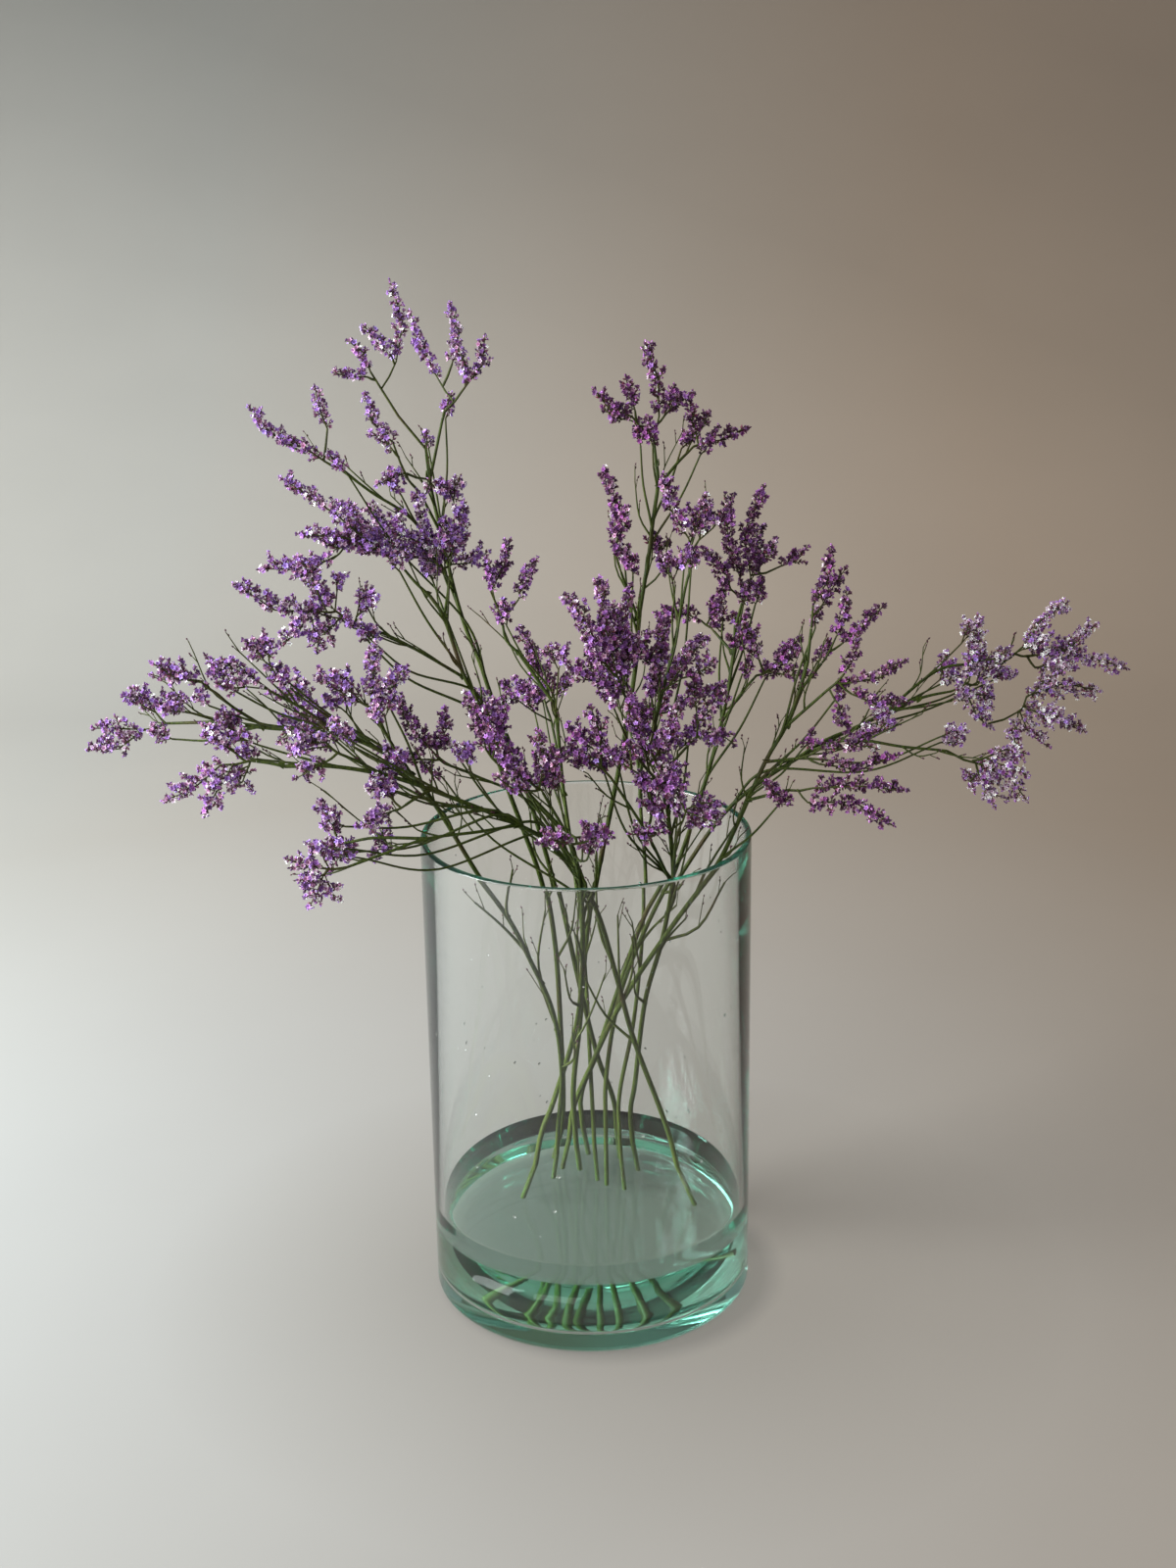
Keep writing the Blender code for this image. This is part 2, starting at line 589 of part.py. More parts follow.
def make_stem(stem, group, loose):
    """Makes one green stem, its stalk and twigs fused."""
    way, radii = stalk_way(stem)
    pieces = [tube(loose, way, radii, STALK_SIDES_LEVEL)]
    for line in twig_ways(stem):
        last = len(line) - 1
        widths = [TWIG_RADIUS + (TWIG_END_RADIUS - TWIG_RADIUS) * k / last for k in range(last + 1)]
        pieces.append(tube(loose, line, widths, TWIG_SIDES_LEVEL))
    return fuse(stem.name, pieces, loose, group)


def fill_stems(room):
    """Marks the space of every stem and twig."""
    for owner, stem in enumerate(STEMS):
        way, radii = stalk_way(stem)
        for a, b, radius_a, radius_b in zip(way, way[1:], radii, radii[1:]):
            room.fill(owner, a, b, radius_a, radius_b)
        for line in twig_ways(stem):
            for a, b in zip(line, line[1:]):
                room.fill(owner, a, b, TWIG_RADIUS, TWIG_RADIUS)


def bends():
    """Yields the small shifts that a head tries, nearest first, to keep clear of others."""
    yield Vector((0.0, 0.0, 0.0))
    for ring in range(1, BEND_RINGS + 1):
        reach = ring * BEND_STEP
        for k in range(BEND_TURNS):
            angle = math.tau * k / BEND_TURNS
            yield Vector((BEND_ASIDE * reach * math.cos(angle), reach * math.sin(angle), 0.0))
            yield Vector((0.0, reach * math.sin(angle), BEND_UP * reach * math.cos(angle)))


@dataclass
class Spray:
    """A spray as it has grown: where it starts, its heads' ways and its florets.

    A head's way goes from where it leaves the twig before it to its core's foot and tip.
    """
    start: Vector
    ways: list
    florets: list


def head_florets(a, b, rng):
    """Yields the root, mouth centre and mouth radius of each floret along a core and at its tip."""
    along = (b - a).normalized()
    side = along.orthogonal().normalized()
    length = (b - a).length
    count = max(3, round(length * (1 - FLORET_START) / FLORET_PITCH))
    turn = rng.uniform(0.0, math.tau)
    for k in range(count):
        share = FLORET_START + (1 - FLORET_START) * (k + 0.5) / count
        size = (1.0 - FLORET_TAPER * share) * rng.uniform(1 - FLORET_VARY, 1 + FLORET_VARY)
        turn += GOLDEN_ANGLE
        out = Matrix.Rotation(turn, 3, along) @ side
        lean = FLORET_LEAN * (1.0 - FLORET_RISE * share)
        root = a.lerp(b, share)
        way = out * math.sin(lean) + along * math.cos(lean)
        yield root, root + way * FLORET_LENGTH * size, FLORET_MOUTH * size
    yield a.lerp(b, TIP_ROOT), b + along * TIP_LENGTH, TIP_MOUTH


def grow_spray(owner, stem_owner, line, heads, room):
    """Grows one spray at the end of a twig, with each head bent clear of what is there."""
    end = line[-1]
    ahead = (line[-1] - line[-2]).normalized()
    start = end + ahead * GAP
    fork = start + ahead * NECK_LENGTH
    spray = Spray(start, [], [])
    room.fill(owner, start, fork, TWIG_END_RADIUS, TWIG_END_RADIUS)
    for head in heads:
        for shift in bends():
            a, b = point(head.base) + shift * BEND_AT_BASE, point(head.tip) + shift
            root = fork
            if spray.ways:
                root = nearest_on(spray.ways, a - (b - a).normalized() * LINK_RAKE)
            link_clear = room.is_clear(owner, root, a, LINK_RADIUS, LINK_RADIUS, end, stem_owner)
            if link_clear and room.is_clear(owner, a, b, CORE_RADIUS, CORE_TIP_RADIUS, end, stem_owner):
                break
        spray.ways.append((root, a, a.lerp(b, CORE_SWELL), b))
        room.fill(owner, root, a, LINK_RADIUS, LINK_RADIUS)
        room.fill(owner, a, b, CORE_RADIUS, CORE_TIP_RADIUS)
    return spray


def grow_florets(owner, stem_owner, end, spray, room, rng):
    """Adds the florets of a spray, leaving out those that would meet a neighbour.

    A floret takes room as a funnel from its waist to its mouth.
    """
    mouths = []
    for _, a, _, b in spray.ways:
        for root, mouth, width in head_florets(a, b, rng):
            spin = rng.uniform(0.0, math.tau)
            if any((mouth - other).length < FLORET_SPACE for other in mouths):
                continue
            waist = FLORET_WAIST * width
            if room.is_clear(owner, root, mouth, waist, width, end, stem_owner):
                mouths.append(mouth)
                spray.florets.append((root, mouth, width, spin))
                room.fill(owner, root, mouth, waist, width)


def grow_sprays():
    """Returns every spray by name, grown in the table's order."""
    room = Room()
    fill_stems(room)
    rng = random.Random(SEED)
    jobs = []
    owner = len(STEMS)
    for stem_owner, stem in enumerate(STEMS):
        for twig, line in zip(stem.twigs, twig_ways(stem)):
            spray = grow_spray(owner, stem_owner, line, twig.heads, room)
            jobs.append((twig.spray, owner, stem_owner, line[-1], spray))
            owner += 1
    for name, owner, stem_owner, end, spray in jobs:
        grow_florets(owner, stem_owner, end, spray, room, rng)
    return {name: spray for name, _, _, _, spray in jobs}


def make_spray(name, spray, group, loose):
    """Makes one spray as a single body: thin twigs that swell into cores, and florets."""
    pieces = []
    for way in spray.ways:
        radii = [LINK_START_RADIUS, LINK_RADIUS, CORE_RADIUS, CORE_TIP_RADIUS]
        if not pieces:
            way = (spray.start, *way)
            radii = [TWIG_END_RADIUS, TWIG_END_RADIUS, *radii[1:]]
        pieces.append(tube(loose, way, radii, CORE_SIDES_LEVEL))
    for root, mouth, width, spin in spray.florets:
        pieces.append(stick(loose, root, mouth, 0.0, width, FLORET_SIDES, spin))
    return fuse(name, pieces, loose, group)


def main():
    """Builds the vase, the water, the stems and the sprays."""
    clear_scene()
    bouquet = make_collection("statice_bouquet")
    cutters = make_collection("cutters")
    loose = make_collection("loose_pieces")
    glass = make_material("vase_glass", (0.72, 0.84, 0.79), 0.02, 0.35, 1.0)
    water = make_material("vase_water", (0.45, 0.72, 0.64), 0.02, 0.5, 1.0)
    green = make_material("stem_green", (0.13, 0.20, 0.06), 0.55)
    purple = make_material("floret_purple", (0.32, 0.16, 0.42), 0.70)
    dress(make_vase(bouquet), glass, math.radians(35))
    dress(make_water(bouquet, cutters), water, math.radians(35))
    for stem in STEMS:
        dress(make_stem(stem, bouquet, loose), green, math.radians(50))
    for name, spray in grow_sprays().items():
        dress(make_spray(name, spray, bouquet, loose), purple)
    bpy.data.collections.remove(loose)


main()
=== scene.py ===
"""Looks of a loose statice bouquet that stands in water in a clear glass cylinder vase.

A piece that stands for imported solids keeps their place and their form: the vase and its water are
turned again from fine profiles, and the stems and flower sprays are grown again by the rule that made
the solids, with real florets. Bare sprigs, small tufts, scales at the forks and drops of water are
added. The table of the bouquet's shape is in millimetres, and everything else is in metres. The
vase's axis is Z, and the bouquet is seen from the front along +Y.
"""

import logging
import math
import random
from collections.abc import Iterable, Iterator, Sequence
from dataclasses import dataclass, field
from enum import Enum
from itertools import pairwise

import bmesh
import bpy
import numpy as np
from mathutils import Matrix, Vector


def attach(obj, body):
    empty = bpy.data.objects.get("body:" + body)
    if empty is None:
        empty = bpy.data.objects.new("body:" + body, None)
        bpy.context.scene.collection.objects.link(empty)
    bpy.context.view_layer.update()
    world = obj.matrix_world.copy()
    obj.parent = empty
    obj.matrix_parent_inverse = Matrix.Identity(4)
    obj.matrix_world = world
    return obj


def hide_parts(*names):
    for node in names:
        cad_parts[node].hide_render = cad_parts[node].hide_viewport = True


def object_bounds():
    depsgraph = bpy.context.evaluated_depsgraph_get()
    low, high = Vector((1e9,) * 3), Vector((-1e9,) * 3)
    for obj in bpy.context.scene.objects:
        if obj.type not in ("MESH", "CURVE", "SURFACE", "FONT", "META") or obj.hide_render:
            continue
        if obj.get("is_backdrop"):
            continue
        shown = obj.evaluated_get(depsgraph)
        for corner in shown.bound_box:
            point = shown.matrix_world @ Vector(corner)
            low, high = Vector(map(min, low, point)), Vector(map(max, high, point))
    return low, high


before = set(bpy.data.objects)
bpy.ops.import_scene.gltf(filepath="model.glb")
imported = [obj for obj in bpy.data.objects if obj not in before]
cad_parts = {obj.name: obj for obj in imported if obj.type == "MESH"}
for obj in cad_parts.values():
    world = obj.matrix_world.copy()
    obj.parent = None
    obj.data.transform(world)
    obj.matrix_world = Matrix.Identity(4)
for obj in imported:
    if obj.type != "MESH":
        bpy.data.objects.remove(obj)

MM = 0.001
GAP = 0.3 * MM
BODY = "root"
UP = Vector((0.0, 0.0, 1.0))
GOLDEN_ANGLE = math.radians(137.5)
log = logging.getLogger("statice")

Way = Sequence[Vector]
Pair = tuple[float, float]
Triple = tuple[float, float, float]
Socket = bpy.types.NodeSocket
Form = bmesh.types.BMesh
Piece = bpy.types.Object

# How the solids' stems and heads grow, which the fine pieces follow
STALK_STEP = 0.042
TWIG_STEP = 0.030
TWIG_RADIUS = 0.0010
TWIG_END_RADIUS = 0.0008
STALK_TOP_RADIUS = 0.0011
STALK_TAPER = 1.5
LINK_RADIUS = 0.00075
LINK_RAKE = 0.007
NECK_LENGTH = 0.003
CORE_RADIUS = 0.0031
CORE_TIP_RADIUS = 0.0013
CLEAR = 0.0006
SAMPLE = 0.002
JOINT_ZONE = 0.008
BEND_STEP = 0.003
BEND_RINGS = 5
BEND_TURNS = 8
BEND_ASIDE = 0.5
BEND_UP = 0.6
BEND_AT_BASE = 0.5


class Slot(Enum):
    """The record's material slots."""
    GLASS = "vase_glass"
    WATER = "vase_water"
    GREEN = "stem_green"
    FLORET = "floret_purple"


class Mood(Enum):
    """How the florets of a stem look."""
    VIOLET = (0.30, 0.48, 0.52)
    MIXED = (0.62, 0.34, 1.05)
    WINE = (0.82, 0.22, 1.70)
    FROSTED = (0.50, 0.95, 0.36)

    def __init__(self, redness: float, frost: float, depth: float) -> None:
        """Names what a mood says.

        Args:
            redness: Share of wine red in the violet.
            frost: Share of florets with papery white rims.
            depth: Above 1 for more dark florets, and below 1 for more light ones.
        """
        self.redness, self.frost, self.depth = redness, frost, depth


class Growth(Enum):
    """How full a stem grows."""
    AIRY = (0.0, 0.400, 1, 0.70)
    OPEN = (0.2, 0.160, 2, 0.86)
    EVEN = (0.5, 0.100, 2, 0.92)
    THICK = (1.1, 0.060, 2, 1.00)

    def __init__(self, sisters: float, tuft_pitch: float, runners: int, girth: float) -> None:
        """Names what a growth says.

        Args:
            sisters: Mean number of small plumes beside each plume.
            tuft_pitch: Length of twig for each side tuft.
            runners: Number of thin twigs that run beside each twig.
            girth: How far a plume's fingers reach, as a share of the fullest.
        """
        self.sisters, self.tuft_pitch, self.runners, self.girth = sisters, tuft_pitch, runners, girth


@dataclass(frozen=True)
class Head:
    """One plume of florets, from the foot of its core to its tip, in millimetres."""
    base: tuple
    tip: tuple


@dataclass(frozen=True)
class Twig:
    """A side twig, its way out from the stalk in millimetres, and the spray at its end."""
    spray: str
    way: tuple
    heads: tuple


@dataclass(frozen=True)
class Stem:
    """A cut flower stem: name, mood, growth, radius at the foot in millimetres, stalk and twigs."""
    name: str
    mood: Mood
    growth: Growth
    thick: float
    stalk: tuple
    twigs: tuple


STEMS = (
    Stem("stem_left_tall", Mood.VIOLET, Growth.THICK, 1.9, (
        (-26, 80, 9), (-19, 66, 75), (-19, 45, 144), (-21, 26, 210), (-27, 8, 262), (-37, 0, 299),
        (-47, -8, 333), (-63, -15, 389), (-69, -16, 401), (-80, -12, 436), (-88, -10, 449),
    ), (
        Twig("spray_left_crown", ((-88, -10, 449), (-96, -10, 457), (-103, -10, 466)), (
            Head((-110, -10, 473), (-138, -12, 505)), Head((-112, -14, 474), (-159, -28, 490)),
            Head((-116, -20, 479), (-166, -35, 523)), Head((-110, -5, 474), (-123, 5, 500)),
            Head((-140, -30, 476), (-179, -40, 473)))),
        Twig("spray_left_core", ((-80, -12, 436), (-78, 5, 450), (-79, 8, 456)), (
            Head((-80, 10, 463), (-68, 18, 498)), Head((-83, 8, 464), (-94, 0, 508)),
            Head((-85, 3, 466), (-108, -15, 488)), Head((-76, 14, 462), (-55, 25, 467)))),
        Twig("spray_left_droop", ((-69, -16, 401), (-93, -28, 420), (-109, -38, 432), (-123, -45, 440)), (
            Head((-139, -50, 451), (-150, -45, 466)), Head((-144, -55, 451), (-190, -70, 471)),
            Head((-152, -60, 452), (-169, -66, 435)), Head((-137, -50, 445), (-154, -40, 432)),
            Head((-127, -43, 446), (-119, -38, 460)))),
    )),
    Stem("stem_top_left", Mood.VIOLET, Growth.AIRY, 1.8, (
        (20, 78, 9), (17, 68, 75), (5, 52, 122), (-6, 36, 179), (-20, 24, 256), (-37, 20, 324),
        (-55, 22, 377), (-62, 23, 400), (-70, 26, 421), (-76, 28, 443), (-83, 32, 477), (-88, 34, 503),
        (-89, 34, 514),
    ), (
        Twig("spray_top", ((-89, 34, 510), (-90, 33, 524)), (
            Head((-120, 28, 573), (-131, 22, 591)), Head((-122, 28, 570), (-140, 24, 573)),
            Head((-106, 42, 577), (-108, 45, 622)), Head((-108, 38, 580), (-123, 34, 598)))),
        Twig("spray_top_right", ((-89, 34, 508), (-80, 40, 544)), (
            Head((-66, 42, 562), (-54, 42, 590)), Head((-66, 46, 566), (-72, 36, 589)),
            Head((-83, 55, 565), (-98, 60, 603)), Head((-74, 50, 574), (-74, 52, 608)))),
        Twig("spray_crown_back", ((-83, 32, 477), (-93, 20, 502), (-98, 15, 510)), (
            Head((-107, 8, 535), (-121, 4, 563)), Head((-107, 9, 530), (-120, 14, 540)),
            Head((-101, 20, 515), (-117, 8, 511)), Head((-90, 28, 511), (-72, 44, 496)))),
        Twig("spray_left_tips", ((-76, 28, 443), (-95, 8, 487), (-120, -4, 509), (-135, -8, 522)), (
            Head((-145, -10, 528), (-169, -14, 540)), Head((-161, -12, 536), (-184, -18, 560)),
            Head((-143, -2, 545), (-149, 0, 568)))),
    )),
    Stem("stem_back_left", Mood.MIXED, Growth.EVEN, 1.5, (
        (4, 50, 9), (1, 54, 95), (-2, 60, 176), (-7, 70, 241), (-14, 79, 300), (-18, 81, 351),
        (-25, 82, 366), (-32, 83, 377), (-40, 84, 389),
    ), (
        Twig("spray_back_pair", ((-40, 84, 389), (-48, 84, 398), (-50, 85, 408)), (
            Head((-40, 92, 422), (-28, 95, 447)), Head((-57, 84, 430), (-44, 86, 461)))),
        Twig("spray_back_low", ((-13, 78, 296), (-20, 100, 334), (-24, 110, 346)), (
            Head((-29, 118, 362), (-40, 125, 396)), Head((-28, 117, 352), (-46, 132, 360)),
            Head((-20, 116, 352), (-8, 128, 366)))),
    )),
    Stem("stem_far_left", Mood.VIOLET, Growth.THICK, 1.6, (
        (-26, 54, 9), (-22, 38, 75), (-18, 8, 132), (-22, -18, 186), (-35, -38, 231), (-46, -52, 263),
        (-63, -69, 300), (-87, -78, 348), (-107, -82, 373), (-135, -82, 387), (-177, -78, 391),
        (-209, -72, 393),
    ), (
        Twig("spray_far_left_tip", ((-209, -72, 393), (-221, -69, 392), (-232, -66, 391)), (
            Head((-249, -62, 386), (-282, -55, 373)), Head((-241, -63, 397), (-255, -55, 408)))),
        Twig("spray_far_left_upper", ((-177, -78, 391), (-192, -92, 407), (-198, -95, 414)), (
            Head((-208, -98, 424), (-232, -104, 436)),)),
        Twig("spray_far_left_rise", ((-135, -82, 387), (-153, -92, 405), (-164, -96, 413)), (
            Head((-174, -98, 421), (-202, -100, 434)),)),
        Twig("spray_left_mass_outer", ((-107, -82, 373), (-130, -70, 386), (-139, -66, 391)), (
            Head((-147, -64, 397), (-177, -62, 406)), Head((-149, -62, 390), (-174, -56, 376)))),
        Twig("spray_left_mass_inner", ((-97, -80, 361), (-108, -91, 388), (-112, -94, 400)), (
            Head((-116, -96, 410), (-112, -100, 444)), Head((-121, -95, 409), (-146, -90, 423)))),
    )),
    Stem("stem_low_left", Mood.VIOLET, Growth.THICK, 1.8, (
        (68, 18, 9), (53, 25, 75), (29, 5, 154), (18, -14, 205), (5, -30, 259), (-16, -46, 303),
        (-38, -74, 330), (-85, -96, 359), (-111, -104, 371), (-138, -110, 378), (-163, -112, 379),
    ), (
        Twig("spray_low_left_tip", ((-163, -112, 379), (-171, -112, 381), (-178, -112, 382)), (
            Head((-197, -114, 381), (-227, -118, 362)), Head((-190, -112, 388), (-206, -108, 396)),
            Head((-184, -108, 376), (-194, -100, 364)))),
        Twig("spray_low_hang", ((-38, -74, 330), (-59, -96, 334), (-87, -112, 336), (-108, -122, 332),
                                (-127, -128, 327)), (
            Head((-143, -132, 327), (-161, -136, 334)), Head((-143, -130, 322), (-151, -132, 305)))),
        Twig("spray_low_side", ((-87, -112, 336), (-115, -112, 337), (-130, -110, 334)), (
            Head((-138, -108, 338), (-146, -104, 356)),)),
        Twig("spray_low_inner", ((-85, -96, 359), (-93, -108, 358), (-98, -113, 356)), (
            Head((-105, -117, 354), (-124, -122, 348)), Head((-106, -114, 361), (-118, -110, 366)))),
        Twig("spray_low_front", ((-111, -104, 371), (-122, -116, 382), (-130, -122, 388)), (
            Head((-138, -125, 396), (-157, -130, 405)), Head((-139, -125, 385), (-155, -128, 377)))),
    )),
    Stem("stem_front", Mood.MIXED, Growth.EVEN, 1.9, (
        (-46, 30, 9), (-34, 28, 75), (-24, 26, 104), (-8, 2, 168), (-3, -27, 231), (-4, -56, 290),
        (-11, -80, 327),
    ), (
        Twig("spray_front_dome", ((-11, -80, 327), (-20, -96, 350), (-23, -102, 358)), (
            Head((-30, -107, 366), (-50, -112, 398)), Head((-24, -109, 368), (-25, -114, 397)),
            Head((-30, -110, 362), (-48, -120, 374)))),
        Twig("spray_front_left", ((-11, -80, 327), (-36, -92, 360), (-46, -97, 372)), (
            Head((-54, -99, 383), (-64, -100, 415)), Head((-49, -101, 384), (-42, -104, 408)))),
        Twig("spray_mid_left", ((-4, -56, 290), (-30, -52, 334), (-62, -54, 353), (-77, -58, 361)), (
            Head((-86, -60, 370), (-108, -58, 405)), Head((-84, -58, 371), (-79, -52, 393)),
            Head((-89, -62, 366), (-118, -66, 374)))),
        Twig("spray_rim_front", ((-11, -80, 327), (-6, -100, 331), (-5, -107, 331)), (
            Head((-8, -115, 333), (-22, -122, 338)), Head((1, -115, 334), (14, -120, 340)))),
    )),
    Stem("stem_centre_tall", Mood.WINE, Growth.OPEN, 1.9, (
        (-8, 64, 9), (-11, 53, 75), (-11, 44, 106), (-6, 33, 154), (-1, 20, 214), (6, 10, 263),
        (21, 0, 342), (31, 0, 402), (33, 0, 430), (39, 2, 466), (42, 4, 489), (45, 6, 509),
        (44, 8, 521),
    ), (
        Twig("spray_centre_top", ((44, 8, 519), (43, 8, 532)), (
            Head((30, 0, 549), (9, -6, 565)), Head((32, 0, 552), (27, 4, 570)),
            Head((46, 12, 547), (39, 14, 588)), Head((49, 12, 547), (65, 18, 559)))),
        Twig("spray_centre_right", ((45, 6, 507), (56, 14, 519), (64, 19, 526)), (
            Head((72, 22, 530), (96, 28, 537)), Head((68, 22, 534), (64, 22, 553)))),
        Twig("spray_centre_spike", ((33, 0, 430), (26, -8, 451), (23, -12, 461)), (
            Head((20, -14, 472), (14, -16, 522)), Head((21, -15, 482), (27, -18, 500)))),
    )),
    Stem("stem_centre_bush", Mood.MIXED, Growth.THICK, 1.8, (
        (32, 62, 9), (27, 53, 75), (30, 42, 107), (36, 14, 176), (46, -10, 228), (51, -34, 276),
        (49, -50, 315), (44, -62, 355), (40, -68, 386),
    ), (
        Twig("spray_bush_left", ((44, -62, 355), (29, -78, 392), (24, -82, 405)), (
            Head((19, -85, 419), (10, -84, 474)), Head((14, -86, 424), (-8, -88, 466)),
            Head((23, -83, 419), (27, -76, 468)), Head((13, -87, 416), (-8, -94, 430)))),
        Twig("spray_bush_core", ((40, -68, 386), (42, -66, 399)), (
            Head((43, -64, 411), (43, -60, 444)), Head((49, -62, 408), (68, -54, 432)))),
        Twig("spray_bush_right", ((44, -62, 355), (57, -68, 372)), (
            Head((66, -70, 382), (84, -74, 376)), Head((64, -70, 388), (79, -68, 410)))),
        Twig("spray_bush_front", ((47, -56, 335), (40, -82, 358), (37, -89, 364)), (
            Head((34, -95, 377), (26, -98, 414)), Head((40, -95, 377), (53, -96, 409)),
            Head((39, -96, 370), (56, -106, 368)))),
        Twig("spray_bush_high", ((40, -68, 386), (53, -38, 429), (59, -30, 456), (62, -28, 466)), (
            Head((61, -30, 484), (47, -32, 521)), Head((67, -27, 483), (74, -22, 503)))),
        Twig("spray_bush_low", ((51, -34, 276), (35, -70, 322), (16, -96, 362)), (
            Head((7, -103, 377), (-14, -108, 384)), Head((9, -104, 380), (4, -104, 407)))),
        Twig("spray_rim_right", ((51, -34, 276), (51, -78, 318), (52, -92, 331)), (
            Head((56, -104, 348), (75, -108, 352)), Head((54, -104, 352), (51, -108, 376)),
            Head((46, -104, 336), (25, -110, 336)))),
    )),
    Stem("stem_right_tall", Mood.WINE, Growth.EVEN, 1.8, (
        (-2, 84, 9), (-7, 77, 75), (5, 70, 114), (25, 60, 178), (38, 52, 217), (52, 45, 247),
        (70, 38, 303), (84, 34, 357), (91, 34, 400), (92, 34, 416),
    ), (
        Twig("spray_right_crown", ((92, 34, 416), (96, 34, 431)), (
            Head((101, 32, 447), (108, 30, 502)), Head((95, 31, 446), (85, 26, 498)),
            Head((89, 28, 441), (71, 18, 468)), Head((120, 45, 451), (136, 50, 461)),
            Head((106, 41, 448), (106, 52, 474)))),
        Twig("spray_right_arch", ((84, 34, 357), (96, 24, 379), (102, 19, 388)), (
            Head((110, 16, 393), (138, 14, 391)), Head((105, 16, 401), (96, 14, 423)),
            Head((115, 15, 399), (130, 20, 412)))),
        Twig("spray_right_back", ((91, 34, 400), (80, 46, 411)), (
            Head((72, 51, 417), (45, 56, 421)), Head((79, 53, 420), (88, 60, 438)))),
    )),
    Stem("stem_right_fan", Mood.WINE, Growth.AIRY, 1.8, (
        (-20, 66, 9), (-13, 59, 75), (3, 46, 122), (22, 18, 176), (49, -27, 242), (75, -52, 294),
        (86, -60, 321), (103, -58, 360), (115, -52, 379), (123, -46, 398), (128, -42, 415),
    ), (
        Twig("spray_fan_tip", ((128, -42, 415), (130, -39, 433)), (
            Head((131, -37, 446), (141, -32, 478)), Head((136, -35, 445), (150, -28, 465)))),
        Twig("spray_fan_upper", ((123, -46, 398), (136, -41, 413)), (
            Head((144, -38, 427), (150, -34, 454)), Head((147, -38, 423), (172, -32, 444)))),
        Twig("spray_fan_middle", ((115, -52, 379), (135, -62, 401)), (
            Head((146, -65, 413), (154, -62, 438)), Head((150, -65, 408), (180, -64, 420)),
            Head((150, -67, 402), (182, -72, 398)), Head((143, -68, 396), (151, -76, 380)))),
        Twig("spray_fan_lower", ((103, -58, 360), (118, -78, 368)), (
            Head((131, -84, 375), (162, -86, 386)), Head((131, -86, 367), (174, -92, 374)))),
        Twig("spray_fan_front", ((93, -60, 338), (111, -90, 353)), (
            Head((126, -98, 357), (176, -108, 358)), Head((123, -102, 350), (168, -116, 341)),
            Head((108, -104, 355), (99, -114, 366)))),
    )),
    Stem("stem_far_right", Mood.FROSTED, Growth.THICK, 1.6, (
        (10, 44, 9), (10, 46, 75), (11, 48, 110), (20, 44, 164), (38, 28, 220), (61, 12, 271),
        (91, 6, 315), (137, 12, 345), (180, 25, 362), (202, 32, 370),
    ), (
        Twig("spray_far_right_low", ((202, 32, 370), (212, 34, 372), (221, 36, 373)), (
            Head((235, 38, 379), (240, 42, 407)), Head((241, 41, 376), (261, 46, 398)),
            Head((236, 37, 367), (249, 32, 351)), Head((268, 44, 358), (286, 40, 336)),
            Head((271, 47, 360), (311, 52, 342)), Head((273, 49, 366), (320, 58, 366)))),
        Twig("spray_far_right_tip", ((180, 25, 362), (218, 42, 386), (252, 52, 385)), (
            Head((271, 56, 396), (297, 60, 422)), Head((275, 57, 389), (317, 64, 407)),
            Head((279, 56, 382), (338, 66, 378)))),
        Twig("spray_far_right_drop", ((137, 12, 345), (159, -4, 356), (188, -10, 353), (211, -12, 351)), (
            Head((235, -13, 342), (263, -12, 319)), Head((237, -15, 347), (260, -18, 350)),
            Head((234, -12, 336), (245, -8, 314)))),
    )),
    Stem("stem_back_right", Mood.WINE, Growth.OPEN, 1.5, (
        (22, 38, 9), (19, 40, 75), (20, 44, 101), (30, 53, 145), (37, 64, 201), (38, 76, 244),
        (35, 85, 300), (41, 102, 326),
    ), (
        Twig("spray_rear_left", ((36, 88, 305), (31, 104, 326), (28, 111, 334)), (
            Head((20, 118, 348), (2, 132, 388)), Head((27, 120, 350), (29, 127, 396)))),
        Twig("spray_rear_right", ((41, 102, 326), (46, 109, 337)), (
            Head((52, 113, 348), (76, 128, 388)), Head((48, 115, 349), (53, 120, 408)),
            Head((56, 115, 341), (94, 140, 350)))),
    )),
)


def point(millimetres: Sequence[float]) -> Vector:
    """Returns a table's point in metres."""
    return Vector(millimetres) * MM


def between(low: float, high: float, share: float) -> float:
    """Returns the value a share of the way from one to another."""
    return low + (high - low) * share


def smooth_way(points: Way, step: float, straight_start: bool = False) -> list[Vector]:
    """Returns points on a smooth curve through the given ones.

    Args:
        points: The curve's own points.
        step: About how far apart the returned points lie.
        straight_start: Keeps the first stretch a straight line.

    Returns:
        The points, from the first to the last given one.
    """
    way = [points[0]]
    for i, (a, b) in enumerate(pairwise(points)):
        if straight_start and i == 0:
            way.append(b)
            continue
        before = points[i - 1] if i else a - (b - a)
        after = points[i + 2] if i + 2 < len(points) else b + (b - a)
        count = max(1, round((b - a).length / step))
        for k in range(1, count + 1):
            t = k / count
            way.append(0.5 * ((2 * a) + (b - before) * t + (2 * before - 5 * a + 4 * b - after) * t ** 2
                              + (3 * a - before - 3 * b + after) * t ** 3))
    return way


def nearest_on(ways: Iterable[Way], place: Vector) -> Vector:
    """Finds the point of some lines that is nearest to a place.

    Args:
        ways: The lines, each as points.
        place: The place.

    Returns:
        The nearest point on any of the lines.
    """
    best = None
    for way in ways:
        for a, b in pairwise(way):
            share = max(0.0, min(1.0, (place - a).dot(b - a) / (b - a).length_squared))
            spot = a + (b - a) * share
            if best is None or (spot - place).length < (best - place).length:
                best = spot
    return best


